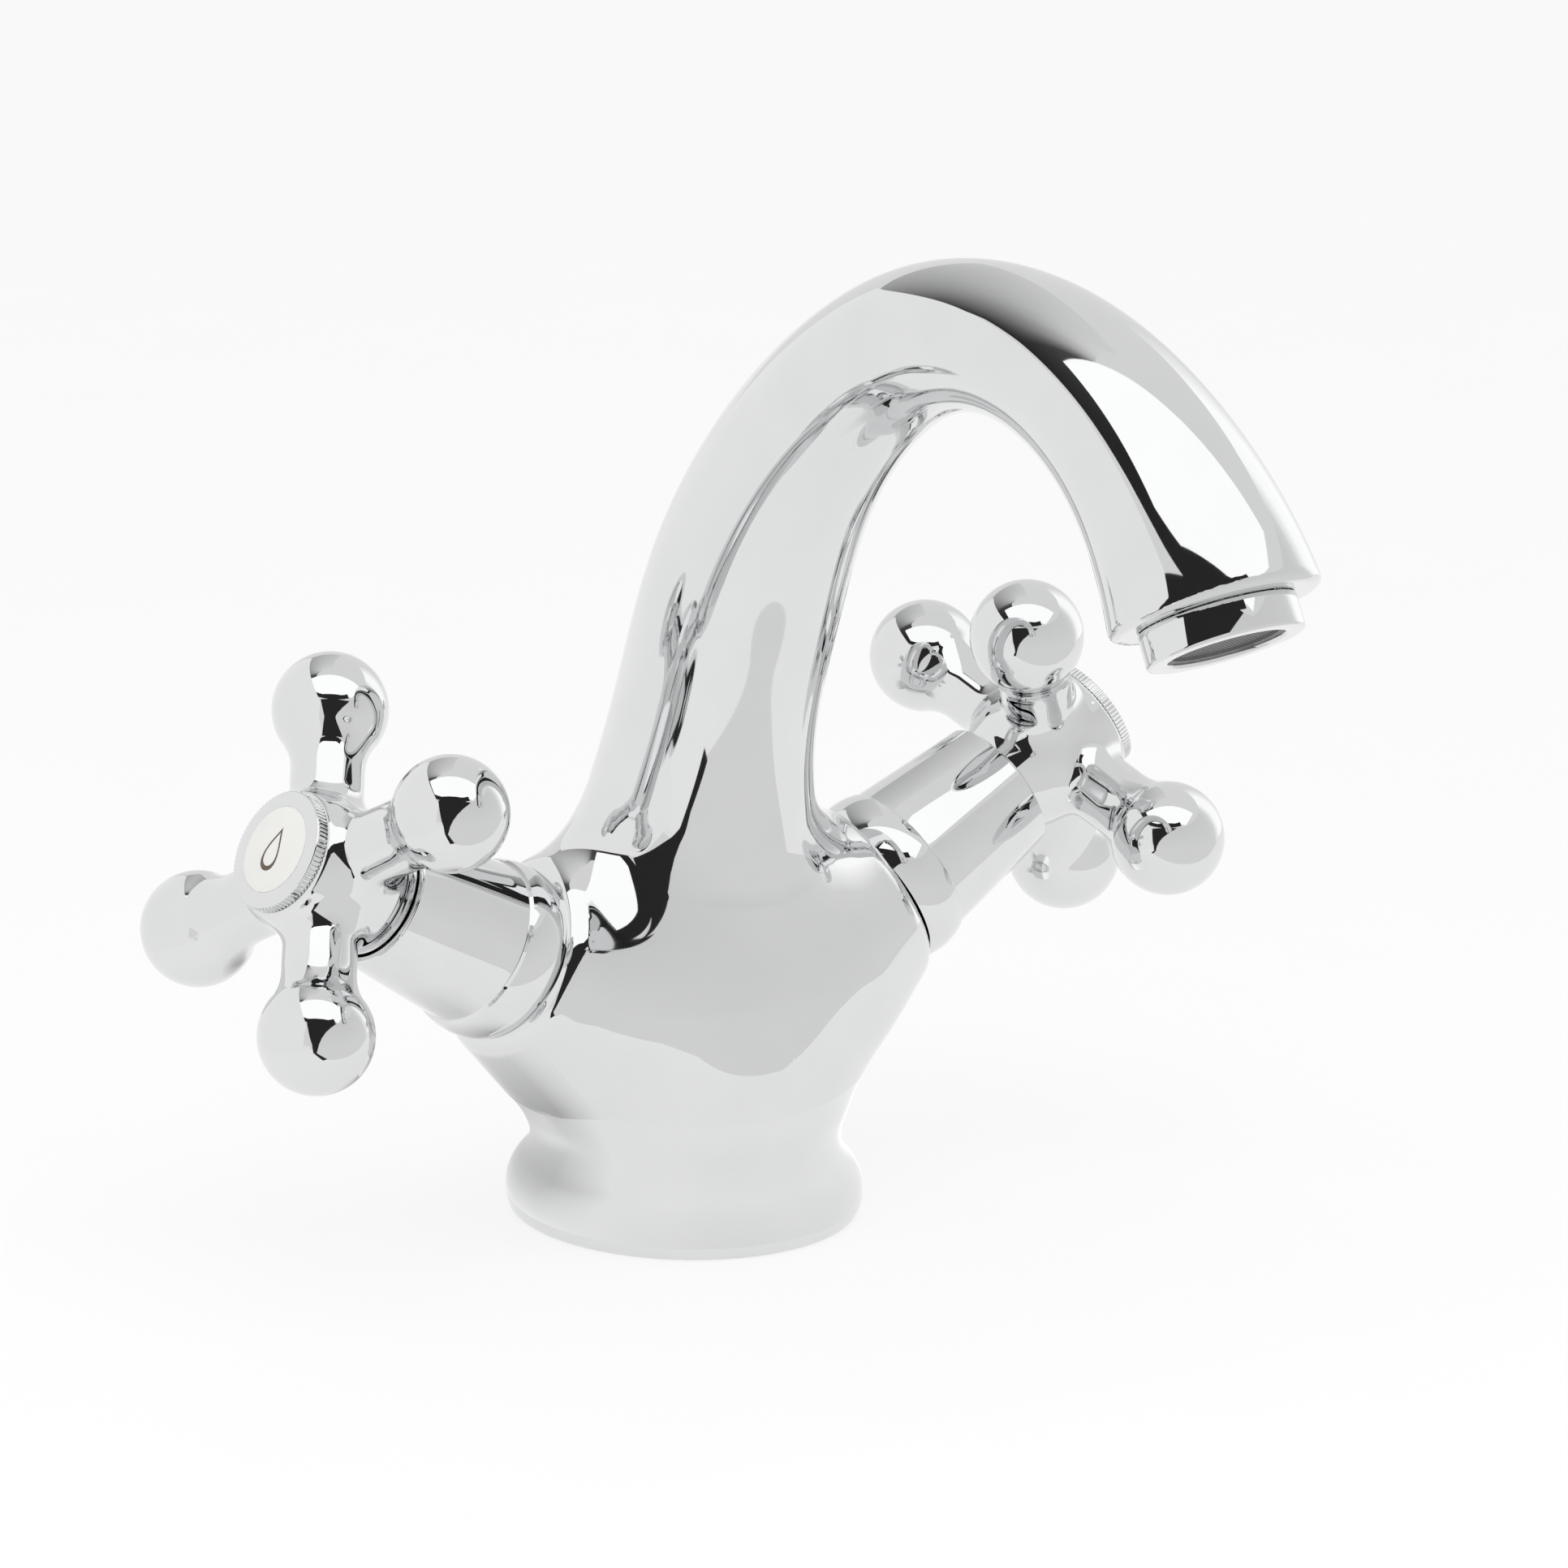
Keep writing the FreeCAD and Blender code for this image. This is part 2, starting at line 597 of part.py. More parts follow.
def drill_rings(body, name, radius, start, depth, first_ring=6, rings=3):
    """One hole in the middle and rings of holes round it, each with as many more as the first has."""
    primitive(body, "SubtractiveCylinder", f"{name}_middle", place(z=start), Radius=radius, Height=depth)
    for number in range(1, rings + 1):
        hole = primitive(body, "SubtractiveCylinder", f"{name}_{number}",
                         place(x=f"{number} * jet_ring_step", z=start), Radius=radius, Height=depth)
        pattern(body, f"{name}_ring_{number}", hole, first_ring * number)


def headwork(name, side, turn):
    """Fixed pieces of one valve, on its axis; the fixed disc's ports lie a quarter turn from
    those of the disc that the closed handle holds over it."""
    frame = valve_frame(side)
    bonnet = new_body(f"valve_bonnet_{name}", frame)
    revolved(bonnet, "bonnet", [
        ("shaft_bore_radius", "cage_ceiling"),
        ("cage_bore_radius", "cage_ceiling"),
        ("cage_bore_radius", "seat_place + cage_lift"),
        ("cage_radius", "seat_place + cage_lift"),
        ("cage_radius", "chamber_end"),
        ("bonnet_thread_radius", "chamber_end"),
        ("bonnet_thread_radius", "hexagon_top"),
        ("cover_thread_radius", "hexagon_top"),
        ("cover_thread_radius", "cover_thread_top"),
        ("bonnet_neck_radius", "cover_thread_top"),
        ("bonnet_neck_radius", "bonnet_top"),
        ("shaft_bore_radius", "bonnet_top"),
    ])
    primitive(bonnet, "AdditivePrism", "hexagon", place(z="boss_face"),
              Circumradius="hexagon_corner_radius", Height="hexagon_height")
    primitive(bonnet, "SubtractiveCylinder", "shaft_bore", place(z="boss_face"),
              Radius="shaft_bore_radius", Height="hexagon_height")
    window = primitive(bonnet, "SubtractiveCylinder", "window",
                       place(z="driver_place + driver_height / 2", turn="90", about="0; 1; 0"),
                       Radius="cage_window_radius", Height="chamber_radius")
    pattern(bonnet, "windows", window, 4)
    bonnet_seal = new_body(f"bonnet_seal_{name}", frame)
    primitive(bonnet_seal, "AdditiveTorus", "seal",
              place(z="boss_face - bonnet_seal_section - seal_clearance / 2"),
              Radius1="bonnet_seal_radius", Radius2="bonnet_seal_section")
    seat_seal = new_body(f"seat_seal_{name}", frame)
    ring(seat_seal, "seal", "disc_radius - seat_seal_width", "disc_radius", "seat_place", "fixed_disc_place")
    disc = new_body(f"fixed_disc_{name}", valve_frame(side, turn))
    ring(disc, "disc", "0", "disc_radius", "fixed_disc_place", "fixed_disc_place + disc_thickness")
    port = primitive(disc, "SubtractiveCylinder", "port", place(x="port_circle_radius", z="fixed_disc_place"),
                     Radius="port_radius", Height="disc_thickness")
    pattern(disc, "ports", port, 2)
    cover = new_body(f"valve_cover_{name}", frame)
    revolved(cover, "cover", [
        ("cover_socket_radius", "boss_face"),
        ("cover_bead_edge_radius", "boss_face", "cover_bead_round", 1),
        ("cover_bead_edge_radius", "boss_face + cover_bead_height"),
        ("cover_root_radius", "boss_face + cover_root_height"),
        ("cover_mouth_radius", "cover_mouth"),
        ("cover_mouth_radius - cover_wall", "cover_mouth"),
        ("cover_mouth_radius - cover_wall", "cover_thread_top"),
        ("cover_thread_radius + thread_clearance", "cover_thread_top"),
        ("cover_thread_radius + thread_clearance", "hexagon_top"),
        ("cover_socket_radius", "hexagon_top"),
    ])
    return [bonnet, bonnet_seal, seat_seal, disc, cover]


def handle(name, side, turn):
    """Turning pieces of one valve, on its axis and at the handle's rest angle."""
    frame = valve_frame(side, turn)
    disc = new_body(f"moving_disc_{name}", frame)
    ring(disc, "disc", "0", "disc_radius", "moving_disc_place", "driver_place")
    port = primitive(disc, "SubtractiveCylinder", "port",
                     place(y="port_circle_radius", z="moving_disc_place"),
                     Radius="port_radius", Height="disc_thickness")
    pattern(disc, "ports", port, 2)
    slot_width = "(tongue_width + 2 * seal_clearance)"
    slot_length = "(tongue_length + 2 * seal_clearance)"
    primitive(disc, "SubtractiveBox", "slot",
              place(x=f"-{slot_length} / 2", y=f"-{slot_width} / 2",
                    z="driver_place - tongue_depth - disc_gap"),
              Length=slot_length, Width=slot_width, Height="tongue_depth + disc_gap")

    spindle = new_body(f"spindle_{name}", frame)
    upper_ring = "lower_ring_place + ring_spacing"
    corners = [("0", "driver_place"), ("driver_radius", "driver_place"), ("driver_radius", "driver_top"),
               ("shaft_radius", "driver_top")]
    for groove in ("lower_ring_place", upper_ring):
        corners += groove_corners(f"{groove} - ring_groove_half", f"{groove} + ring_groove_half",
                                  "ring_groove_radius")
    corners += groove_corners("clip_place", "clip_top", "clip_groove_radius")
    corners += [("shaft_radius", "square_start"), ("0", "square_start")]
    revolved(spindle, "shaft", corners)
    primitive(spindle, "AdditiveBox", "tongue",
              place(x="-tongue_length / 2", y="-tongue_width / 2", z="driver_place - tongue_depth"),
              Length="tongue_length", Width="tongue_width", Height="tongue_depth")
    primitive(spindle, "AdditiveBox", "square",
              place(x="-square_side / 2", y="-square_side / 2", z="square_start"),
              Length="square_side", Width="square_side", Height="square_length")
    primitive(spindle, "SubtractiveCylinder", "screw_thread", place(z="screw_bottom - seal_clearance"),
              Radius="handle_screw_radius + thread_clearance", Height="handle_screw_grip + seal_clearance")

    rings = new_body(f"spindle_rings_{name}", frame)
    primitive(rings, "AdditiveTorus", "lower_ring", place(z="lower_ring_place"),
              Radius1="ring_centre_radius", Radius2="ring_section")
    upper = new_body(f"upper_ring_{name}", frame)
    primitive(upper, "AdditiveTorus", "upper_ring", place(z=upper_ring),
              Radius1="ring_centre_radius", Radius2="ring_section")

    washer = new_body(f"slide_washer_{name}", frame)
    ring(washer, "washer", "shaft_bore_radius", "disc_radius",
         "driver_top", "driver_top + slide_washer_thickness")

    clip = new_body(f"spindle_clip_{name}", frame)
    ring(clip, "clip", "clip_groove_radius + running_clearance", "clip_radius",
         "clip_place + disc_gap", "clip_top - disc_gap")

    cross = cross_handle(f"cross_handle_{name}", frame)

    screw = new_body(f"handle_screw_{name}", frame)
    revolved(screw, "screw", [
        ("0", "screw_bottom"),
        ("handle_screw_radius", "screw_bottom"),
        ("handle_screw_radius", "screw_seat"),
        ("screw_head_radius", "screw_seat"),
        ("screw_head_radius", "screw_head_top"),
        ("0", "screw_head_top"),
    ])
    primitive(screw, "SubtractivePrism", "socket", place(z="screw_head_top - screw_socket_depth"),
              Circumradius="screw_socket_across / 2 / cos(30)", Height="screw_socket_depth")

    index_ring = new_body(f"index_ring_{name}", frame)
    stem = "index_thread_radius - thread_clearance"
    revolved(index_ring, "bezel", [
        ("index_ring_bore_radius", "hub_top - index_thread_length"),
        (stem, "hub_top - index_thread_length"),
        (stem, "hub_top"),
        ("index_ring_radius", "hub_top"),
        ("index_ring_radius", "index_top"),
        ("index_disc_radius + seal_clearance", "index_top"),
        ("index_disc_radius + seal_clearance", "index_seat"),
        ("index_ring_bore_radius", "index_seat"),
    ])
    index_disc = new_body(f"index_disc_{name}", frame)
    rim = "index_seat + index_disc_thickness - index_disc_crown"
    revolved(index_disc, "disc", [
        ("0", "index_seat"),
        ("index_disc_radius", "index_seat"),
        ("index_disc_radius", rim, "index_dome_radius", 1),
        ("0", "index_seat + index_disc_thickness"),
    ])
    return [disc, spindle, (rings, upper), washer, clip, cross, screw, index_ring, index_disc]


def groove_corners(low, high, floor):
    """Corners of a groove turned into the shaft."""
    return [("shaft_radius", low), (floor, low), (floor, high), ("shaft_radius", high)]


def cross_handle(label, frame):
    body = new_body(label, frame)
    revolved(body, "hub", [
        ("0", "hub_bottom"),
        ("hub_skirt_radius", "hub_bottom"),
        ("hub_skirt_radius", "hub_skirt_top", "hub_lower_radius", 1),
        ("hub_belly_radius", "arm_plane", "hub_upper_radius", 1),
        ("hub_top_radius", "hub_top"),
        ("0", "hub_top"),
    ])
    arm = revolved(body, "arm", [
        ("0", "0"),
        ("ball_circle_radius + ball_radius", "0", "ball_radius", 1),
        ("fillet_end", "fillet_end_radius", "arm_fillet_radius", -1),
        ("fillet_start", "arm_neck_radius"),
        ("0", "arm_neck_radius"),
    ], offset=place(y="arm_plane"), axis="H_Axis")
    pattern(body, "arms", arm, 4)
    hole_side = "(square_side + 2 * running_clearance)"
    primitive(body, "SubtractiveBox", "square_hole",
              place(x=f"-{hole_side} / 2", y=f"-{hole_side} / 2", z="hub_bottom"),
              Length=hole_side, Width=hole_side, Height="screw_hole_floor - hub_bottom")
    revolved(body, "screw_and_index_bore", [
        ("0", "hub_bottom"),
        ("handle_screw_radius + seal_clearance", "hub_bottom"),
        ("handle_screw_radius + seal_clearance", "screw_seat"),
        ("screw_head_radius + screw_head_clearance", "screw_seat"),
        ("screw_head_radius + screw_head_clearance", "index_bore_floor"),
        ("index_thread_radius", "index_bore_floor"),
        ("index_thread_radius", "hub_top"),
        ("0", "hub_top"),
    ], cut=True)
    return body


pieces = [tap_body(), base_gasket(), *aerator()]
for valve_name, valve_side, rest_turn in VALVES:
    pieces += headwork(valve_name, valve_side, rest_turn)
    pieces += handle(valve_name, valve_side, rest_turn)
doc.recompute()

for thing in doc.Objects:
    if "Invalid" in thing.State or "Error" in thing.State:
        raise RuntimeError(f"{thing.Label} failed: {thing.State}")

solids = {}
for piece in pieces:
    group = piece if isinstance(piece, tuple) else (piece,)
    shapes = [member.Shape for member in group]
    for shape in shapes:
        if shape.isNull() or not shape.isValid() or len(shape.Solids) != 1:
            raise RuntimeError(f"{group[0].Label} is not one valid solid")
    solids[group[0].Label] = shapes[0] if len(shapes) == 1 else Part.makeCompound(shapes)

os.makedirs("parts", exist_ok=True)
for node, shape in solids.items():
    shape.exportStep(f"parts/{node}.step")
    box = shape.BoundBox
    print(f"{node}: {shape.Volume:.1f} mm3, x {box.XMin:.1f}..{box.XMax:.1f}, "
          f"y {box.YMin:.1f}..{box.YMax:.1f}, z {box.ZMin:.1f}..{box.ZMax:.1f}")
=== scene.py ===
import math

import bmesh
import bpy
import numpy as np
from mathutils import Euler, Matrix, Quaternion, Vector


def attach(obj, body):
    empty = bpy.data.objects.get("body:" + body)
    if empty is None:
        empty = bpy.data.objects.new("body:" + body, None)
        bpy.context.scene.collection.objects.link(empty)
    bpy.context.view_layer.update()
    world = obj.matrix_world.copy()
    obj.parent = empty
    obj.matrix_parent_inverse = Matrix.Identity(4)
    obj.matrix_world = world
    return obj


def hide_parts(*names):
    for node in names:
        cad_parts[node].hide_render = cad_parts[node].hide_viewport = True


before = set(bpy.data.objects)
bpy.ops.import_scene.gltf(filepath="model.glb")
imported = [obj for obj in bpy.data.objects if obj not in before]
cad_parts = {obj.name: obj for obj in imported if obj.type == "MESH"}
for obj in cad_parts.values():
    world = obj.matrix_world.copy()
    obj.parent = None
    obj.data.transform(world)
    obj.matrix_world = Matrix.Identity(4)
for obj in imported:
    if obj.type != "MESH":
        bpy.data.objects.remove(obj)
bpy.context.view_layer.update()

# The casting: foot, chest, two valve bosses, column and arched spout in one piece of brass.
# The forms are ground into each other with hollow fillets, then the whole is polished and chromed.
# Lengths are in millimetres until a mesh is made; the origin is the middle of the foot on the deck.
MM = 0.001
FOOT_RADIUS = 26.0
FOOT_BASE_RADIUS = 25.2
FOOT_WIDEST_HEIGHT = 3.2
WAIST_RADIUS = 21.9
WAIST_HEIGHT = 12.9
CHEST_RADIUS = 22.2
CHEST_HEIGHT = 16.5
CHEST_TOP_RADIUS = 16.5
CHEST_TOP = 47.0
COLUMN_START = 36.6
BEND_RADII = (157.1, 83.6, 53.8)
BEND_LEANS = (0.0, 23.4, 57.6, 150.0)
BEND_EASING = 14.0
SPOUT_STEP = 0.4
OUTLET_LIP = 1.6
VALVE_HEIGHT = 25.0
VALVE_RISE = math.radians(29.2)
BOSS_ROOT_RADIUS = 22.4
BOSS_SWELL = 1.0
BOSS_DEPTH = 0.92
BOSS_CROWN = 0.87
BOSS_FACE = 36.7
BOSS_FACE_RADIUS = 13.6
BOSS_EDGE = 3.0
RECESS_RADIUS = 20.0
RECESS_DEPTH = 13.0
GASKET_RADII = (21.5, 23.8)
GASKET_DEPTH = 1.5
INLET_SPREAD = 8.2
INLET_FORWARD = 3.5
INLET_RADIUS = 4.5
INLET_DEPTH = 12.0
STUD_BACK = 9.5
STUD_RADIUS = 3.4
STUD_DEPTH = 14.0
VALVE_BORE_RADIUS = 9.05
VALVE_BORE_FLOOR = 14.0
WATERWAY_RADIUS = 6.5
AERATOR_BORE_RADIUS = 10.05
AERATOR_BORE_DEPTH = 9.0
CHEST_FILLET = 6.0
BOSS_FILLET = 14.0
CROSSING_FILLET = 3.0
CUT_EDGE = 0.6
CASTING_LOW = (-42.0, -138.0, -1.2)
CASTING_HIGH = (42.0, 29.0, 158.0)
CASTING_STEP = 0.8
PROFILE_STEP = 0.02
PROFILE_BELOW_DECK = 4.0
PROFILE_PAST_CHEST = 14.0
PROFILE_PAST_BOSS = 7.0
FOOT_EASING = 1.6
SECTION_EASING = 8.0
COARSE_STRIDE = 8
NEAREST_ROUNDS = 6
LEAST_STEEPNESS = 1e-6
FAR_INSIDE = -100.0


def soft_union(first, second, reach):
    """Two forms, each given by its distance, joined by a hollow fillet as wide as reach."""
    near = np.maximum(reach - np.abs(first - second), 0) / reach
    return np.minimum(first, second) - near ** 2 * reach / 4


def soft_trim(form, other, edge):
    """What lies inside both forms, with the edge between them rounded."""
    return -soft_union(-form, -other, edge)


def soft_cut(form, cutter, edge=CUT_EDGE):
    """The form with the cutter taken out of it, with the edge between them rounded."""
    return soft_trim(form, -cutter, edge)


def smoothed(values, window):
    """Running mean, carried on in a straight line past both ends."""
    half = max(1, int(window) // 2)
    padded = np.pad(values, half, mode="reflect", reflect_type="odd")
    return np.convolve(padded, np.ones(2 * half + 1) / (2 * half + 1), mode="valid")


def bulge(at, edge, middle, edge_height, middle_height):
    """Radius along an arc: middle, its most or least, at middle_height, and edge at edge_height."""
    swell = middle - edge
    rise = edge_height - middle_height
    radius = (swell ** 2 + rise ** 2) / (2 * abs(swell))
    reach = np.sqrt(np.maximum(radius ** 2 - (at - middle_height) ** 2, 0))
    return middle - math.copysign(1, swell) * (radius - reach)


def turned_form(across, along, profile_along, profile_radius):
    """Distance from a turned form whose radius is given along its axis."""
    slope = np.gradient(profile_radius, profile_along)
    radius = np.interp(along, profile_along, profile_radius)
    return (across - radius) / np.sqrt(1 + np.interp(along, profile_along, slope) ** 2)


foot_heights = np.arange(-PROFILE_BELOW_DECK, CHEST_TOP + PROFILE_PAST_CHEST, PROFILE_STEP)
foot_middle = (FOOT_RADIUS + WAIST_RADIUS) / 2
foot_middle_height = (FOOT_WIDEST_HEIGHT + WAIST_HEIGHT) / 2
chest_middle = (CHEST_RADIUS + WAIST_RADIUS) / 2
chest_middle_height = (CHEST_HEIGHT + WAIST_HEIGHT) / 2
foot_radii = np.select(
    [foot_heights < FOOT_WIDEST_HEIGHT, foot_heights < foot_middle_height, foot_heights < WAIST_HEIGHT,
     foot_heights < chest_middle_height, foot_heights < CHEST_HEIGHT],
    [bulge(foot_heights, FOOT_BASE_RADIUS, FOOT_RADIUS, 0, FOOT_WIDEST_HEIGHT),
     bulge(foot_heights, foot_middle, FOOT_RADIUS, foot_middle_height, FOOT_WIDEST_HEIGHT),
     bulge(foot_heights, foot_middle, WAIST_RADIUS, foot_middle_height, WAIST_HEIGHT),
     bulge(foot_heights, chest_middle, WAIST_RADIUS, chest_middle_height, WAIST_HEIGHT),
     bulge(foot_heights, chest_middle, CHEST_RADIUS, chest_middle_height, CHEST_HEIGHT)],
    bulge(foot_heights, CHEST_TOP_RADIUS, CHEST_RADIUS, CHEST_TOP, CHEST_HEIGHT))
foot_radii = smoothed(foot_radii, FOOT_EASING / PROFILE_STEP)

boss_places = np.arange(-BOSS_ROOT_RADIUS, BOSS_FACE + PROFILE_PAST_BOSS, PROFILE_STEP)
boss_share = np.maximum(boss_places, 0) / BOSS_FACE
boss_radii = BOSS_ROOT_RADIUS * (1 - boss_share) + BOSS_FACE_RADIUS * boss_share
boss_radii = boss_radii + BOSS_SWELL * 4 * boss_share * (1 - boss_share)

bend_lengths = np.radians(np.diff(BEND_LEANS)) * BEND_RADII
bend_ends = np.concatenate([[0], np.cumsum(bend_lengths)])
spout_length = bend_ends[-1]
spout_places = np.arange(0, spout_length + SPOUT_STEP / 2, SPOUT_STEP)
sharp_lean = np.radians(np.interp(spout_places, bend_ends, BEND_LEANS))
spout_lean = smoothed(sharp_lean, BEND_EASING / SPOUT_STEP)


def run_of(lean):
    """Points (y, z) of a line that starts upright in the column and leans towards the user."""
    middle = (lean[1:] + lean[:-1]) / 2
    y = np.concatenate([[0], -np.cumsum(np.sin(middle))]) * SPOUT_STEP
    z = np.concatenate([[0], np.cumsum(np.cos(middle))]) * SPOUT_STEP + COLUMN_START
    return y, z


outlet_y, outlet_z = [run[-1] for run in run_of(sharp_lean)]
outlet_lean = math.radians(BEND_LEANS[-1])
spout_y, spout_z = run_of(spout_lean)
spout_share = spout_places / spout_places[-1]
spout_y = spout_y + (outlet_y - spout_y[-1]) * spout_share
spout_z = spout_z + (outlet_z - spout_z[-1]) * spout_share


def flowing(stations, values):
    """Values along the spout that pass smoothly through those given at stations."""
    slopes = np.gradient(values, stations)
    span = np.clip(np.searchsorted(stations, spout_places, side="right") - 1, 0, len(stations) - 2)
    start = np.take(stations, span)
    width = np.take(stations, span + 1) - start
    share = (spout_places - start) / width
    left, right = np.take(values, span), np.take(values, span + 1)
    rising = share * share * (3 - 2 * share)
    curve = left + (right - left) * rising
    curve = curve + np.take(slopes, span) * width * share * (1 - share) ** 2
    curve = curve - np.take(slopes, span + 1) * width * share ** 2 * (1 - share)
    return smoothed(curve, SECTION_EASING / SPOUT_STEP)


column_end, shoulder_end = bend_ends[1:3]
spout_stations = np.array([
    0, column_end / 4, column_end / 2, column_end, (column_end + shoulder_end) / 2, shoulder_end,
    shoulder_end + bend_lengths[2] / 3, shoulder_end + bend_lengths[2] * 2 / 3, spout_length])
SPOUT_HALF_WIDTHS = (24.4, 19.4, 15.5, 14.1, 12.3, 11.1, 10.6, 11.9, 14.9)
SPOUT_HALF_DEPTHS = (18.8, 17.1, 15.5, 14.1, 12.3, 11.1, 10.6, 11.9, 14.9)
half_width = flowing(spout_stations, np.array(SPOUT_HALF_WIDTHS))
half_depth = flowing(spout_stations, np.array(SPOUT_HALF_DEPTHS))


def along_spout(y, z):
    """Place along the spout's centre line that is nearest to (y, z), and the distance from it."""
    coarse = slice(0, None, COARSE_STRIDE)
    gap_y = np.asarray(y)[..., None] - spout_y[coarse]
    gap_z = np.asarray(z)[..., None] - spout_z[coarse]
    place = spout_places[coarse][(gap_y ** 2 + gap_z ** 2).argmin(-1)]
    for _ in range(NEAREST_ROUNDS):
        lean = np.interp(place, spout_places, spout_lean)
        gap_y = y - np.interp(place, spout_places, spout_y)
        gap_z = z - np.interp(place, spout_places, spout_z)
        place = np.clip(place - gap_y * np.sin(lean) + gap_z * np.cos(lean), 0, spout_places[-1])
    gap_y = y - np.interp(place, spout_places, spout_y)
    gap_z = z - np.interp(place, spout_places, spout_z)
    return place, np.hypot(gap_y, gap_z)


def valve_places(x, z, side):
    """Distance along a valve's axis from where it crosses the upright axis, and height above it."""
    along = side * math.cos(VALVE_RISE) * x + math.sin(VALVE_RISE) * (z - VALVE_HEIGHT)
    up = -side * math.sin(VALVE_RISE) * x + math.cos(VALVE_RISE) * (z - VALVE_HEIGHT)
    return along, up


def casting(x, y, z):
    """Distance from the casting's surface, negative in the metal."""
    chest = turned_form(np.hypot(x, y), z, foot_heights, foot_radii)
    chest = np.maximum(chest, z - CHEST_TOP)
    place, off_line = along_spout(y, z)
    wide = np.interp(place, spout_places, half_width)
    deep = np.interp(place, spout_places, half_depth)
    ratio = np.sqrt((x / wide) ** 2 + (off_line / deep) ** 2)
    steepness = np.sqrt((x / wide ** 2) ** 2 + (off_line / deep ** 2) ** 2)
    spout = ratio * (ratio - 1) / np.maximum(steepness, LEAST_STEEPNESS)
    past_outlet = -(y - outlet_y) * math.sin(outlet_lean) + (z - outlet_z) * math.cos(outlet_lean)
    past_outlet = np.where(place > spout_length / 2, past_outlet, FAR_INSIDE)
    spout = soft_trim(spout, past_outlet + 0 * x, OUTLET_LIP)
    bosses, bores = [], []
    for side in (-1, 1):
        along, up = valve_places(x, z, side)
        across = np.hypot(up, y)
        outward = np.clip(along / BOSS_FACE, 0, 1)
        depth = BOSS_DEPTH + (1 - BOSS_DEPTH) * outward
        crown = BOSS_CROWN + (1 - BOSS_CROWN) * outward
        across_boss = np.hypot(np.maximum(up / crown, up), y / depth)
        cone = turned_form(across_boss, along, boss_places, boss_radii)
        end = np.hypot(across_boss, along) - BOSS_ROOT_RADIUS
        boss = np.where(along < 0, end, cone)
        bosses.append(soft_trim(boss, along - BOSS_FACE, BOSS_EDGE))
        bores.append(np.maximum(across - VALVE_BORE_RADIUS, VALVE_BORE_FLOOR - along))
        inlet = np.hypot(x - side * INLET_SPREAD, y + INLET_FORWARD) - INLET_RADIUS
        bores.append(np.maximum(inlet, z - RECESS_DEPTH - INLET_DEPTH))
    bosses = soft_union(*bosses, CROSSING_FILLET)
    metal = soft_union(soft_union(spout, bosses, BOSS_FILLET), chest, CHEST_FILLET)
    stud = np.hypot(x, y - STUD_BACK) - STUD_RADIUS
    bores.append(np.maximum(stud, z - RECESS_DEPTH - STUD_DEPTH))
    bores.append(np.maximum(np.hypot(x, y) - RECESS_RADIUS, z - RECESS_DEPTH))
    groove = np.abs(np.hypot(x, y) - sum(GASKET_RADII) / 2) - (GASKET_RADII[1] - GASKET_RADII[0]) / 2
    bores.append(np.maximum(groove, z - GASKET_DEPTH))
    from_line = np.hypot(x, off_line)
    bores.append(from_line - WATERWAY_RADIUS)
    outlet_up = (y - outlet_y) * math.cos(outlet_lean) + (z - outlet_z) * math.sin(outlet_lean)
    outlet_across = np.hypot(x, outlet_up)
    bores.append(np.maximum(outlet_across - AERATOR_BORE_RADIUS, -past_outlet - AERATOR_BORE_DEPTH))
    metal = soft_trim(metal, -z + 0 * metal, CUT_EDGE)
    for bore in bores:
        metal = soft_cut(metal, bore)
    return metal


def slopes_of(form, points, reach=0.15):
    """Outward slope of a form's distance at points."""
    columns = []
    for axis in range(3):
        shift = np.zeros(3)
        shift[axis] = reach
        ahead, behind = points + shift, points - shift
        columns.append((form(*ahead.T) - form(*behind.T)) / (2 * reach))
    return np.stack(columns, axis=1)


def settle(form, points, rounds=3, least_slope=0.05, longest_move=0.5):
    """Points moved along the slope onto a form's surface."""
    for _ in range(rounds):
        slope = slopes_of(form, points)
        steep = np.maximum((slope ** 2).sum(1), least_slope)
        move = slope * (form(*points.T) / steep)[:, None]
        points = points - np.clip(move, -longest_move, longest_move)
    return points


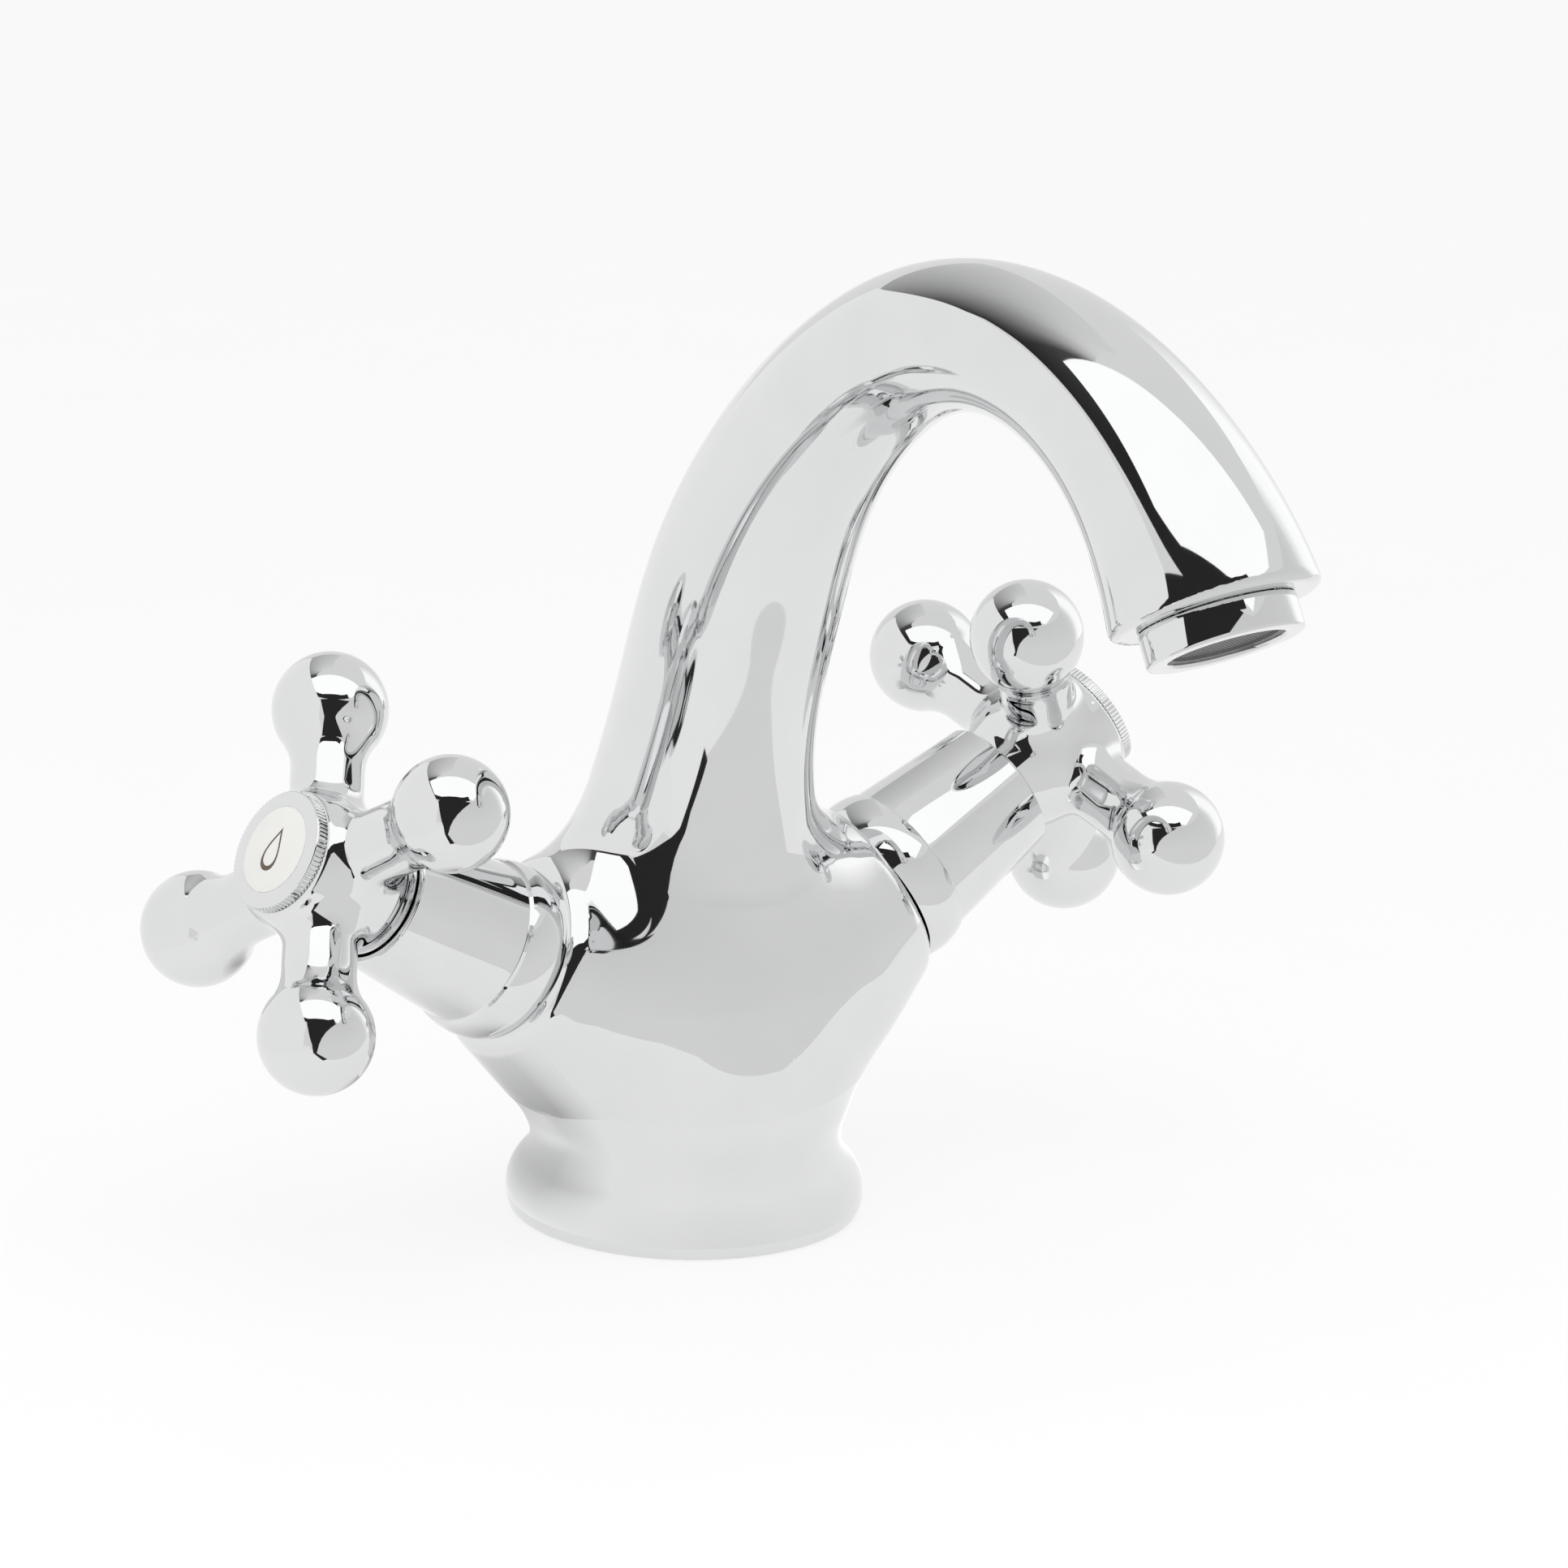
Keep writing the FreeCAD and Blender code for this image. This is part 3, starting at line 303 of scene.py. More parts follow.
def skin_of(form, low, high, step, evening_rounds=3, evening=0.6):
    """Quads over the surface of a form: one point in each grid cell that the surface crosses."""
    axes = [np.arange(start, end + step, step) for start, end in zip(low, high)]
    distance = form(axes[0][:, None, None], axes[1][None, :, None], axes[2][None, None, :])
    inside = distance < 0
    cells = tuple(length - 1 for length in inside.shape)
    corner_shifts = [(i, j, k) for i in (0, 1) for j in (0, 1) for k in (0, 1)]

    def corner(values, shift):
        return values[tuple(slice(move, move + length) for move, length in zip(shift, cells))]

    count = sum(corner(inside, shift).astype(np.int8) for shift in corner_shifts)
    crossed = (count > 0) & (count < len(corner_shifts))
    places = np.argwhere(crossed)
    number = np.full(cells, -1)
    number[crossed] = np.arange(len(places))
    total = np.zeros((len(places), 3))
    hits = np.zeros(len(places))
    for shift in corner_shifts:
        for axis in range(3):
            if shift[axis]:
                continue
            other = tuple(move + (place == axis) for place, move in enumerate(shift))
            first = corner(distance, shift)[crossed]
            second = corner(distance, other)[crossed]
            changes = (first < 0) != (second < 0)
            share = np.where(changes, first / np.where(changes, first - second, 1), 0)
            spot = places + np.array(shift)
            spot = spot + share[:, None] * np.eye(3)[axis]
            total += np.where(changes[:, None], spot, 0)
            hits += changes
    points = total / hits[:, None] * step + np.array(low)
    quads = []
    for axis in range(3):
        after = tuple(slice(1, None) if place == axis else slice(None) for place in range(3))
        before = tuple(slice(None, -1) if place == axis else slice(None) for place in range(3))
        edge = np.argwhere(inside[before] != inside[after])
        leaving = inside[before][tuple(edge.T)]
        side, next_side = [place for place in range(3) if place != axis] if axis != 1 else [2, 0]
        ring = []
        for move_side, move_next in ((-1, -1), (0, -1), (0, 0), (-1, 0)):
            cell = edge.copy()
            cell[:, side] += move_side
            cell[:, next_side] += move_next
            ring.append(number[tuple(cell.T)])
        ring = np.stack(ring, axis=1)
        quads.append(np.where(leaving[:, None], ring, ring[:, ::-1]))
    quads = np.concatenate(quads)
    sides = np.concatenate([quads[:, [place, (place + 1) % 4]] for place in range(4)])
    points = settle(form, points)
    for _ in range(evening_rounds):
        mean = np.zeros_like(points)
        np.add.at(mean, sides[:, 0], points[sides[:, 1]])
        degree = np.bincount(sides[:, 0], minlength=len(points))
        points = settle(form, points * (1 - evening) + mean / degree[:, None] * evening, rounds=2)
    return points, quads


def new_piece(name, points, faces, material, crease=180.0):
    """Object of the given name whose mesh has its place in its points, which are in millimetres."""
    mesh = bpy.data.meshes.new(name)
    mesh.from_pydata((np.asarray(points) * MM).tolist(), [], np.asarray(faces).tolist())
    mesh.materials.append(material)
    mesh.shade_smooth()
    mesh.set_sharp_from_angle(angle=math.radians(crease))
    piece = bpy.data.objects.new(name, mesh)
    bpy.context.scene.collection.objects.link(piece)
    return piece


def new_finish(name, tones, tone_scale, gloss, gloss_scale, wave_scale, wave_depth, metal=0.0):
    """Material whose tone, gloss and ground each drift a little over the surface, at their own scales."""
    material = bpy.data.materials.new(name)
    material.use_nodes = True
    nodes, links = material.node_tree.nodes, material.node_tree.links
    shader = nodes["Principled BSDF"]
    shader.inputs["Metallic"].default_value = metal
    place = nodes.new("ShaderNodeTexCoord")

    def drift(scale, detail):
        noise = nodes.new("ShaderNodeTexNoise")
        noise.inputs["Scale"].default_value = scale
        noise.inputs["Detail"].default_value = detail
        links.new(place.outputs["Object"], noise.inputs["Vector"])
        return noise.outputs["Fac"]

    ramp = nodes.new("ShaderNodeValToRGB")
    ramp.name = "tones"
    for element, tone in zip(ramp.color_ramp.elements, tones):
        element.color = (*tone, 1)
    links.new(drift(tone_scale, detail=3.0), ramp.inputs["Fac"])
    links.new(ramp.outputs["Color"], shader.inputs["Base Color"])
    haze = nodes.new("ShaderNodeMapRange")
    haze.inputs["To Min"].default_value = gloss[0]
    haze.inputs["To Max"].default_value = gloss[1]
    links.new(drift(gloss_scale, detail=4.0), haze.inputs["Value"])
    links.new(haze.outputs["Result"], shader.inputs["Roughness"])
    bump = nodes.new("ShaderNodeBump")
    bump.inputs["Distance"].default_value = wave_depth
    links.new(drift(wave_scale, detail=1.0), bump.inputs["Height"])
    links.new(bump.outputs["Normal"], shader.inputs["Normal"])
    return material


PLATE_TONES = ((0.72, 0.725, 0.73), (0.77, 0.772, 0.775))
cast_chrome = new_finish("cast_chrome", PLATE_TONES, tone_scale=90.0,
                         gloss=(0.015, 0.05), gloss_scale=350.0, wave_scale=45.0,
                         wave_depth=0.00006, metal=1.0)


def field_skin(form, low, high, step):
    """Points, quads and outward directions of a form's skin."""
    points, quads = skin_of(form, low, high, step)
    slopes = slopes_of(form, points, reach=step / 3)
    return points, quads, slopes / np.linalg.norm(slopes, axis=1)[:, None]


def placed(points, seat):
    """Points carried from a piece's own axes into its seat."""
    return points @ np.array(seat.to_3x3()).T + np.array(seat.translation)


def field_piece(name, skin, material, seat):
    """Piece made of a form's skin, set into its seat and shaded by the form's own slope."""
    points, quads, slopes = skin
    piece = new_piece(name, placed(points, seat), quads, material)
    turned_slopes = slopes @ np.array(seat.to_3x3()).T
    piece.data.normals_split_custom_set_from_vertices(turned_slopes.tolist())
    return piece


body_skin = field_skin(casting, CASTING_LOW, CASTING_HIGH, CASTING_STEP)
body_piece = field_piece("body_casting", body_skin, cast_chrome, Matrix.Identity(4))
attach(body_piece, "tap")
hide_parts("tap_body")

# The ring under the foot: black rubber, pressed into a groove that is turned in the casting's base.
# It seals the tap against the deck and stays where it is.
black_rubber = new_finish("black_rubber", ((0.012, 0.012, 0.012), (0.03, 0.03, 0.03)), tone_scale=400.0,
                          gloss=(0.5, 0.75), gloss_scale=900.0, wave_scale=1500.0, wave_depth=0.00004)


def dress(node, material):
    """Give a CAD node that stays in sight its material."""
    node_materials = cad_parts[node].data.materials
    node_materials.clear()
    node_materials.append(material)


dress("base_gasket", black_rubber)

# The aerator: a chromed brass ring screwed into the spout's end, which holds a grey plastic jet former,
# a steel screen above it and a fine grey mesh below it, with a rubber washer at the top of its thread.
AERATOR_RING_RADIUS = 11.0
AERATOR_THREAD_RADIUS = 10.0
AERATOR_THREAD_START = 2.0
AERATOR_SHOULDER = 9.0
AERATOR_END = 14.0
AERATOR_INNER_RADIUS = 8.6
AERATOR_LIP_RADIUS = 8.1
AERATOR_LIP_HEIGHT = 0.8
AERATOR_ROUNDING = 0.45
THREAD_ROUNDING = 0.2
MESH_RADIUS = 7.6
MESH_PITCH = 0.62
MESH_WIRE = 0.2
MESH_PLACE = 12.75
MESH_SPREAD = 0.97
ROUND_STEPS = 6
TURNED_SEGMENTS = 160
MERGE_DISTANCE = MM * 1e-3


def rounded(corners):
    """Outline (across, along) through corners, each with the radius that it is rounded to."""
    points = []
    for number, (*corner, radius) in enumerate(corners):
        corner = np.array(corner, dtype=float)
        if not radius:
            points.append(corner)
            continue
        before = np.array(corners[number - 1][:2]) - corner
        after = np.array(corners[(number + 1) % len(corners)][:2]) - corner
        before, after = before / np.linalg.norm(before), after / np.linalg.norm(after)
        half = math.acos(np.clip(before @ after, -1, 1)) / 2
        middle = (before + after) / np.linalg.norm(before + after)
        centre = corner + middle * radius / math.sin(half)
        start = corner + before * radius / math.tan(half) - centre
        end = corner + after * radius / math.tan(half) - centre
        for share in np.linspace(0, 1, ROUND_STEPS):
            spoke = start * (1 - share) + end * share
            points.append(centre + spoke / np.linalg.norm(spoke) * radius)
    return np.array(points)


def face_outwards(piece):
    """Merge a piece's doubled points and turn all its faces outwards."""
    shell = bmesh.new()
    shell.from_mesh(piece.data)
    bmesh.ops.remove_doubles(shell, verts=shell.verts, dist=MERGE_DISTANCE)
    bmesh.ops.recalc_face_normals(shell, faces=shell.faces)
    shell.to_mesh(piece.data)
    shell.free()


def turned_piece(name, outline, seat, material, crease=30.0):
    """Closed outline (across, along) turned once round its axis and set into its seat."""
    angles = np.arange(TURNED_SEGMENTS) * 2 * math.pi / TURNED_SEGMENTS
    across, along = np.asarray(outline).T
    points = np.stack([np.outer(np.cos(angles), across), np.outer(np.sin(angles), across),
                       np.broadcast_to(along, (len(angles), len(along)))], axis=-1)
    number = np.arange(points[..., 0].size).reshape(points.shape[:2])
    beside = np.roll(number, -1, axis=0)
    quads = np.stack([number, beside, np.roll(beside, -1, axis=1), np.roll(number, -1, axis=1)], axis=-1)
    points = placed(points.reshape(-1, 3), seat)
    piece = new_piece(name, points, quads.reshape(-1, 4), material, crease)
    face_outwards(piece)
    return piece


def node_tree(name, inputs):
    """Start a Geometry Nodes tree; returns its named inputs and the helpers that add to it and close it."""
    tree = bpy.data.node_groups.new(name, "GeometryNodeTree")
    sockets = {}
    for title, kind in inputs.items():
        sockets[title] = tree.interface.new_socket(title, in_out="INPUT", socket_type=kind).identifier
    tree.interface.new_socket("Geometry", in_out="OUTPUT", socket_type="NodeSocketGeometry")
    entry = tree.nodes.new("NodeGroupInput")

    def add(kind, links, **settings):
        node = tree.nodes.new(kind)
        for key, value in settings.items():
            setattr(node, key, value)
        for socket, value in links.items():
            if isinstance(value, bpy.types.NodeSocket):
                tree.links.new(value, node.inputs[socket])
            else:
                node.inputs[socket].default_value = value
        return node.outputs[0]

    def close(geometry, material):
        solid = add("GeometryNodeRealizeInstances", {"Geometry": geometry})
        coloured = add("GeometryNodeSetMaterial", {"Geometry": solid, "Material": material})
        tree.links.new(coloured, tree.nodes.new("NodeGroupOutput").inputs["Geometry"])
        return tree, sockets

    return entry.outputs, add, close


def grown_piece(name, tree, sockets, values, seat, crease=30.0):
    """Piece that a Geometry Nodes tree grows in millimetres, made a plain mesh and set into its seat."""
    seed = bpy.data.objects.new(name, bpy.data.meshes.new(name))
    bpy.context.scene.collection.objects.link(seed)
    grower = seed.modifiers.new("grower", "NODES")
    grower.node_group = tree
    for title, value in values.items():
        grower[sockets[title]] = value
    seen = seed.evaluated_get(bpy.context.evaluated_depsgraph_get())
    grown = bpy.data.meshes.new_from_object(seen)
    seed.modifiers.remove(grower)
    seed.data = grown
    grown.name = name
    grown.transform(Matrix.Scale(MM, 4) @ seat)
    grown.shade_smooth()
    grown.set_sharp_from_angle(angle=math.radians(crease))
    return seed


aerator_point = Vector((0, outlet_y + AERATOR_SHOULDER * math.sin(outlet_lean),
                        outlet_z - AERATOR_SHOULDER * math.cos(outlet_lean)))
aerator_seat = Matrix.Translation(aerator_point) @ Matrix.Rotation(outlet_lean, 4, "X")
turned_chrome = new_finish("turned_chrome", PLATE_TONES, tone_scale=160.0,
                           gloss=(0.012, 0.04), gloss_scale=500.0, wave_scale=120.0,
                           wave_depth=0.00001, metal=1.0)
housing_piece = turned_piece("aerator_ring", rounded([
    (AERATOR_INNER_RADIUS, AERATOR_THREAD_START, 0),
    (AERATOR_THREAD_RADIUS, AERATOR_THREAD_START, THREAD_ROUNDING),
    (AERATOR_THREAD_RADIUS, AERATOR_SHOULDER, 0),
    (AERATOR_RING_RADIUS, AERATOR_SHOULDER, AERATOR_ROUNDING),
    (AERATOR_RING_RADIUS, AERATOR_END, AERATOR_ROUNDING),
    (AERATOR_LIP_RADIUS, AERATOR_END, AERATOR_ROUNDING),
    (AERATOR_LIP_RADIUS, AERATOR_END - AERATOR_LIP_HEIGHT, 0),
    (AERATOR_INNER_RADIUS, AERATOR_END - AERATOR_LIP_HEIGHT, 0)]), aerator_seat, turned_chrome)
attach(housing_piece, "tap")
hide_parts("aerator_housing")

grey_plastic = new_finish("grey_plastic", ((0.16, 0.16, 0.165), (0.22, 0.22, 0.225)), tone_scale=300.0,
                          gloss=(0.35, 0.5), gloss_scale=700.0, wave_scale=900.0, wave_depth=0.00002)
screen_steel = new_finish("screen_steel", ((0.45, 0.45, 0.46), (0.62, 0.62, 0.63)), tone_scale=600.0,
                          gloss=(0.2, 0.4), gloss_scale=900.0, wave_scale=800.0,
                          wave_depth=0.00001, metal=1.0)
dress("aerator_insert", grey_plastic)
dress("aerator_screen", screen_steel)
dress("aerator_seal", black_rubber)

sizes, add, close = node_tree("woven_mesh", {
    "Radius": "NodeSocketFloat", "Wire": "NodeSocketFloat", "Rows": "NodeSocketInt",
    "Place": "NodeSocketFloat"})
first_row = add("ShaderNodeMath", {0: sizes["Radius"], 1: -MESH_SPREAD}, operation="MULTIPLY")
last_row = add("ShaderNodeMath", {0: sizes["Radius"], 1: MESH_SPREAD}, operation="MULTIPLY")
row_start = add("ShaderNodeCombineXYZ", {"Y": first_row, "Z": sizes["Place"]})
row_end = add("ShaderNodeCombineXYZ", {"Y": last_row, "Z": sizes["Place"]})
rows = add("GeometryNodeMeshLine", {"Count": sizes["Rows"], "Start Location": row_start, "Offset": row_end},
           mode="END_POINTS")
row_place = add("ShaderNodeSeparateXYZ", {"Vector": add("GeometryNodeInputPosition", {})}).node.outputs["Y"]
reach_squared = add("ShaderNodeMath", {0: sizes["Radius"], 1: sizes["Radius"]}, operation="MULTIPLY")
place_squared = add("ShaderNodeMath", {0: row_place, 1: row_place}, operation="MULTIPLY")
chord_squared = add("ShaderNodeMath", {0: reach_squared, 1: place_squared}, operation="SUBTRACT")
half_chord = add("ShaderNodeMath", {0: chord_squared}, operation="SQRT")
wire_length = add("ShaderNodeMath", {0: half_chord, 1: 2.0}, operation="MULTIPLY")
wire_size = add("ShaderNodeCombineXYZ", {"X": wire_length, "Y": sizes["Wire"], "Z": sizes["Wire"]})
wire = add("GeometryNodeMeshCube", {})
one_way = add("GeometryNodeInstanceOnPoints", {"Points": rows, "Instance": wire, "Scale": wire_size})
other_way = add("GeometryNodeTransform", {"Geometry": one_way, "Rotation": (0, 0, math.pi / 2)})
both_ways = add("GeometryNodeJoinGeometry", {"Geometry": one_way})
both_ways.node.id_data.links.new(other_way, both_ways.node.inputs["Geometry"])
mesh_tree, mesh_sockets = close(both_ways, grey_plastic)
mesh_piece = grown_piece("outlet_mesh", mesh_tree, mesh_sockets, {
    "Radius": MESH_RADIUS, "Wire": MESH_WIRE, "Rows": round(2 * MESH_RADIUS / MESH_PITCH),
    "Place": MESH_PLACE}, aerator_seat)
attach(mesh_piece, "tap")

# The valves: brass headworks screwed into the bosses, each with two ceramic discs, rubber seals, a plastic
# slide washer and a brass spindle held by a steel clip. The covers and handles hide nearly all of them.
# The brass tone is darkened to paint the shade that falls inside the gap at each cover's mouth.
bare_brass = new_finish("bare_brass", ((0.20, 0.165, 0.11), (0.30, 0.25, 0.18)), tone_scale=250.0,
                        gloss=(0.3, 0.5), gloss_scale=600.0, wave_scale=500.0,
                        wave_depth=0.00001, metal=1.0)
white_ceramic = new_finish("white_ceramic", ((0.72, 0.71, 0.68), (0.80, 0.79, 0.77)), tone_scale=700.0,
                           gloss=(0.12, 0.22), gloss_scale=900.0, wave_scale=900.0, wave_depth=0.000004)
slide_plastic = new_finish("slide_plastic", ((0.55, 0.54, 0.50), (0.66, 0.65, 0.61)), tone_scale=300.0,
                           gloss=(0.35, 0.5), gloss_scale=700.0, wave_scale=900.0, wave_depth=0.00001)
for side_name in ("hot", "cold"):
    for node in ("valve_bonnet", "spindle"):
        dress(f"{node}_{side_name}", bare_brass)
    for node in ("bonnet_seal", "seat_seal", "spindle_rings"):
        dress(f"{node}_{side_name}", black_rubber)
    for node in ("fixed_disc", "moving_disc"):
        dress(f"{node}_{side_name}", white_ceramic)
    for node in ("spindle_clip", "handle_screw"):
        dress(f"{node}_{side_name}", screen_steel)
    dress(f"slide_washer_{side_name}", slide_plastic)

# The valve covers: tapered brass sleeves with a round bead at the foot, turned, polished and chromed.
# Each is screwed onto its headwork and sits on the boss's face.
COVER_BEAD_RADIUS = 13.1
COVER_BEAD_EDGE = 12.5
COVER_BEAD_TOP = 43.1
COVER_NECK_RADIUS = 12.0
COVER_NECK = 43.45
COVER_NECK_ROUNDING = 0.25
COVER_ROOT_RADIUS = 11.9
COVER_ROOT = 44.9
COVER_MOUTH_RADIUS = 10.2
COVER_MOUTH = 62.4
COVER_MOUTH_ROUNDING = 0.4
COVER_BORE_RADIUS = 9.1
COVER_BORE_ROUNDING = 0.3
COVER_THREAD_RADIUS = 10.25
COVER_THREAD = (42.0, 47.0)
COVER_SOCKET_RADIUS = 11.27
BEAD_STEPS = 24


def valve_seat(side, turn=0.0):
    """Seat with its third axis along a valve's, turned about it by degrees."""
    lean = Matrix.Rotation(side * (math.pi / 2 - VALVE_RISE), 4, "Y")
    return Matrix.Translation((0, 0, VALVE_HEIGHT)) @ lean @ Matrix.Rotation(math.radians(turn), 4, "Z")


bead_places = np.linspace(BOSS_FACE, COVER_BEAD_TOP, BEAD_STEPS)
bead_middle = (BOSS_FACE + COVER_BEAD_TOP) / 2
bead_radii = bulge(bead_places, COVER_BEAD_EDGE, COVER_BEAD_RADIUS, BOSS_FACE, bead_middle)
bead = np.stack([bead_radii, bead_places], axis=1)
sleeve = rounded([
    (COVER_BEAD_EDGE, COVER_BEAD_TOP, 0),
    (COVER_NECK_RADIUS, COVER_NECK, COVER_NECK_ROUNDING),
    (COVER_ROOT_RADIUS, COVER_ROOT, 0),
    (COVER_MOUTH_RADIUS, COVER_MOUTH, COVER_MOUTH_ROUNDING),
    (COVER_BORE_RADIUS, COVER_MOUTH, COVER_BORE_ROUNDING),
    (COVER_BORE_RADIUS, COVER_THREAD[1], 0),
    (COVER_THREAD_RADIUS, COVER_THREAD[1], 0),
    (COVER_THREAD_RADIUS, COVER_THREAD[0], 0),
    (COVER_SOCKET_RADIUS, COVER_THREAD[0], 0),
    (COVER_SOCKET_RADIUS, BOSS_FACE, 0)])
for side_name, side in (("hot", -1), ("cold", 1)):
    cover_piece = turned_piece(f"cover_{side_name}", np.concatenate([bead, sleeve[1:]]), valve_seat(side),
                               turned_chrome)
    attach(cover_piece, "tap")
    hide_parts(f"valve_cover_{side_name}")

# The cross handles: one brass casting each, a round hub with four necked arms that end in balls, polished
# and chromed. A screw under the index holds it on the spindle's square, and a thin turned and chromed ring
# lies round the foot of the hub, just above the cover's mouth.
ARM_PLANE = 72.2
HUB_BOTTOM = 59.3
HUB_SKIRT_TOP = 62.0
HUB_TOP = 79.7
HUB_SKIRT_RADIUS = 7.9
HUB_BELLY_RADIUS = 10.4
HUB_TOP_RADIUS = 9.3
HUB_EDGE = 0.8
PROFILE_PAST_HUB = (2.0, 4.0)
ARM_NECK_RADIUS = 5.3
ARM_FILLET_RADIUS = 9.05
ARM_BLEND = 2.6
BALL_CIRCLE_RADIUS = 25.8
BALL_RADIUS = 8.35
INDEX_BORE = (7.0, 75.5)
SCREW_BORE = (4.0, 70.42)
SQUARE_HALF = 2.85
SQUARE_TOP = 67.42
HANDLE_LOW = (-35.0, -35.0, 58.5)
HANDLE_HIGH = (35.0, 35.0, 81.5)
HANDLE_STEP = 0.5
HANDLE_TURNS = {"hot": 34.8, "cold": 22.8}
COLLAR_INNER_RADIUS = 7.6
COLLAR_RADIUS = 8.95
COLLAR_BOTTOM = 62.45
COLLAR_TOP = 62.9
COLLAR_ROUNDING = 0.15

fillet_across = ARM_NECK_RADIUS + ARM_FILLET_RADIUS
fillet_back = math.sqrt((ARM_FILLET_RADIUS + BALL_RADIUS) ** 2 - fillet_across ** 2)
hub_places = np.arange(HUB_BOTTOM - PROFILE_PAST_HUB[0], HUB_TOP + PROFILE_PAST_HUB[1], PROFILE_STEP)
hub_radii = np.select(
    [hub_places < HUB_SKIRT_TOP, hub_places < ARM_PLANE],
    [HUB_SKIRT_RADIUS + 0 * hub_places,
     bulge(hub_places, HUB_SKIRT_RADIUS, HUB_BELLY_RADIUS, HUB_SKIRT_TOP, ARM_PLANE)],
    bulge(hub_places, HUB_TOP_RADIUS, HUB_BELLY_RADIUS, HUB_TOP, ARM_PLANE))


def handle_arm(along, across):
    """Distance from one arm: a neck that widens through a hollow fillet into a ball."""
    capped = np.minimum(across, fillet_across)
    from_fillet = np.hypot(along - BALL_CIRCLE_RADIUS + fillet_back, capped - fillet_across)
    fillet = ARM_FILLET_RADIUS - from_fillet + across - capped
    ball = np.hypot(along - BALL_CIRCLE_RADIUS, across) - BALL_RADIUS
    neck_side = -fillet_back * across - fillet_across * (along - BALL_CIRCLE_RADIUS) > 0
    waist = np.where(along < BALL_CIRCLE_RADIUS - fillet_back, across - ARM_NECK_RADIUS, fillet)
    return np.where(neck_side, waist, ball)


def cross_handle(x, y, z):
    """Distance from a cross handle's surface, with its valve's axis upright."""
    from_axis = np.hypot(x, y)
    hub = turned_form(from_axis, z, hub_places, hub_radii)
    hub = soft_trim(soft_trim(hub, z - HUB_TOP + 0 * hub, HUB_EDGE), HUB_BOTTOM - z + 0 * hub, HUB_EDGE)
    rise = z - ARM_PLANE
    arms = np.minimum(handle_arm(np.abs(x), np.hypot(y, rise)), handle_arm(np.abs(y), np.hypot(x, rise)))
    metal = soft_union(hub, arms, ARM_BLEND)
    for radius, floor in (INDEX_BORE, SCREW_BORE):
        metal = soft_cut(metal, np.maximum(from_axis - radius, floor - z))
    square = np.maximum(np.abs(x), np.abs(y)) - SQUARE_HALF
    return soft_cut(metal, np.maximum(square, z - SQUARE_TOP))


handle_skin = field_skin(cross_handle, HANDLE_LOW, HANDLE_HIGH, HANDLE_STEP)
for side_name, side in (("hot", -1), ("cold", 1)):
    handle_piece = field_piece(f"cross_{side_name}", handle_skin, cast_chrome,
                               valve_seat(side, HANDLE_TURNS[side_name]))
    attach(handle_piece, f"{side_name}_handle")
    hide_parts(f"cross_handle_{side_name}")
    collar_piece = turned_piece(f"collar_{side_name}", rounded([
        (COLLAR_INNER_RADIUS, COLLAR_BOTTOM, 0),
        (COLLAR_RADIUS, COLLAR_BOTTOM, COLLAR_ROUNDING),
        (COLLAR_RADIUS, COLLAR_TOP, COLLAR_ROUNDING),
        (COLLAR_INNER_RADIUS, COLLAR_TOP, 0)]), valve_seat(side), turned_chrome)
    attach(collar_piece, f"{side_name}_handle")

# The index of each handle: a chromed bezel, knurled round its rim and screwed into the hub, that holds
# a domed cream enamel disc with a dark drop in the middle.
INDEX_STEM_RADIUS = 6.95
INDEX_STEM_BOTTOM = 76.2
INDEX_STEM_BORE = 5.0
INDEX_TOP = 81.6
INDEX_RIM_RADIUS = 8.9
INDEX_SEAT = 80.8
INDEX_SEAT_RADIUS = 6.4
DISC_RADIUS = 6.37
DISC_RIM = 81.5
DISC_CROWN = 81.8
DOME_STEPS = 24
BEZEL_ROUNDING = 0.2
BEZEL_RIM_ROUNDING = 0.25
BEZEL_SLOPE = 0.3
BEZEL_LIP_RADIUS = 6.75
BEZEL_LIP = 81.48
KNURL_TEETH = 84
KNURL_DEPTH = 0.22
KNURL_LENGTH = 1.4
KNURL_PLACE = 80.45
TOOTH_SIDES = 8
DROP_HEIGHT = 6.6
DROP_STROKE = 0.7
DROP_BREADTH = 0.72
DROP_TAPER = 1.5
DROP_STEPS = 64

sizes, add, close = node_tree("knurl", {
    "Radius": "NodeSocketFloat", "Teeth": "NodeSocketInt", "Tooth": "NodeSocketFloat",
    "Length": "NodeSocketFloat", "Place": "NodeSocketFloat"})
rim = add("GeometryNodeMeshCircle", {"Vertices": sizes["Teeth"], "Radius": sizes["Radius"]})
rim_place = add("ShaderNodeCombineXYZ", {"Z": sizes["Place"]})
raised_rim = add("GeometryNodeTransform", {"Geometry": rim, "Translation": rim_place})
tooth = add("GeometryNodeMeshCylinder", {
    "Vertices": TOOTH_SIDES, "Radius": sizes["Tooth"], "Depth": sizes["Length"]})
teeth = add("GeometryNodeInstanceOnPoints", {"Points": raised_rim, "Instance": tooth})
knurl_tree, knurl_sockets = close(teeth, turned_chrome)

cream_enamel = new_finish("cream_enamel", ((0.79, 0.785, 0.76), (0.84, 0.835, 0.815)), tone_scale=220.0,
                          gloss=(0.10, 0.2), gloss_scale=500.0, wave_scale=260.0, wave_depth=0.000006)
brown_enamel = new_finish("brown_enamel", ((0.075, 0.05, 0.03), (0.13, 0.09, 0.055)), tone_scale=500.0,
                          gloss=(0.15, 0.3), gloss_scale=700.0, wave_scale=700.0, wave_depth=0.000006)
knurl_radius = INDEX_RIM_RADIUS - KNURL_DEPTH
dome_rise = DISC_CROWN - DISC_RIM
dome_radius = (DISC_RADIUS ** 2 + dome_rise ** 2) / (2 * dome_rise)


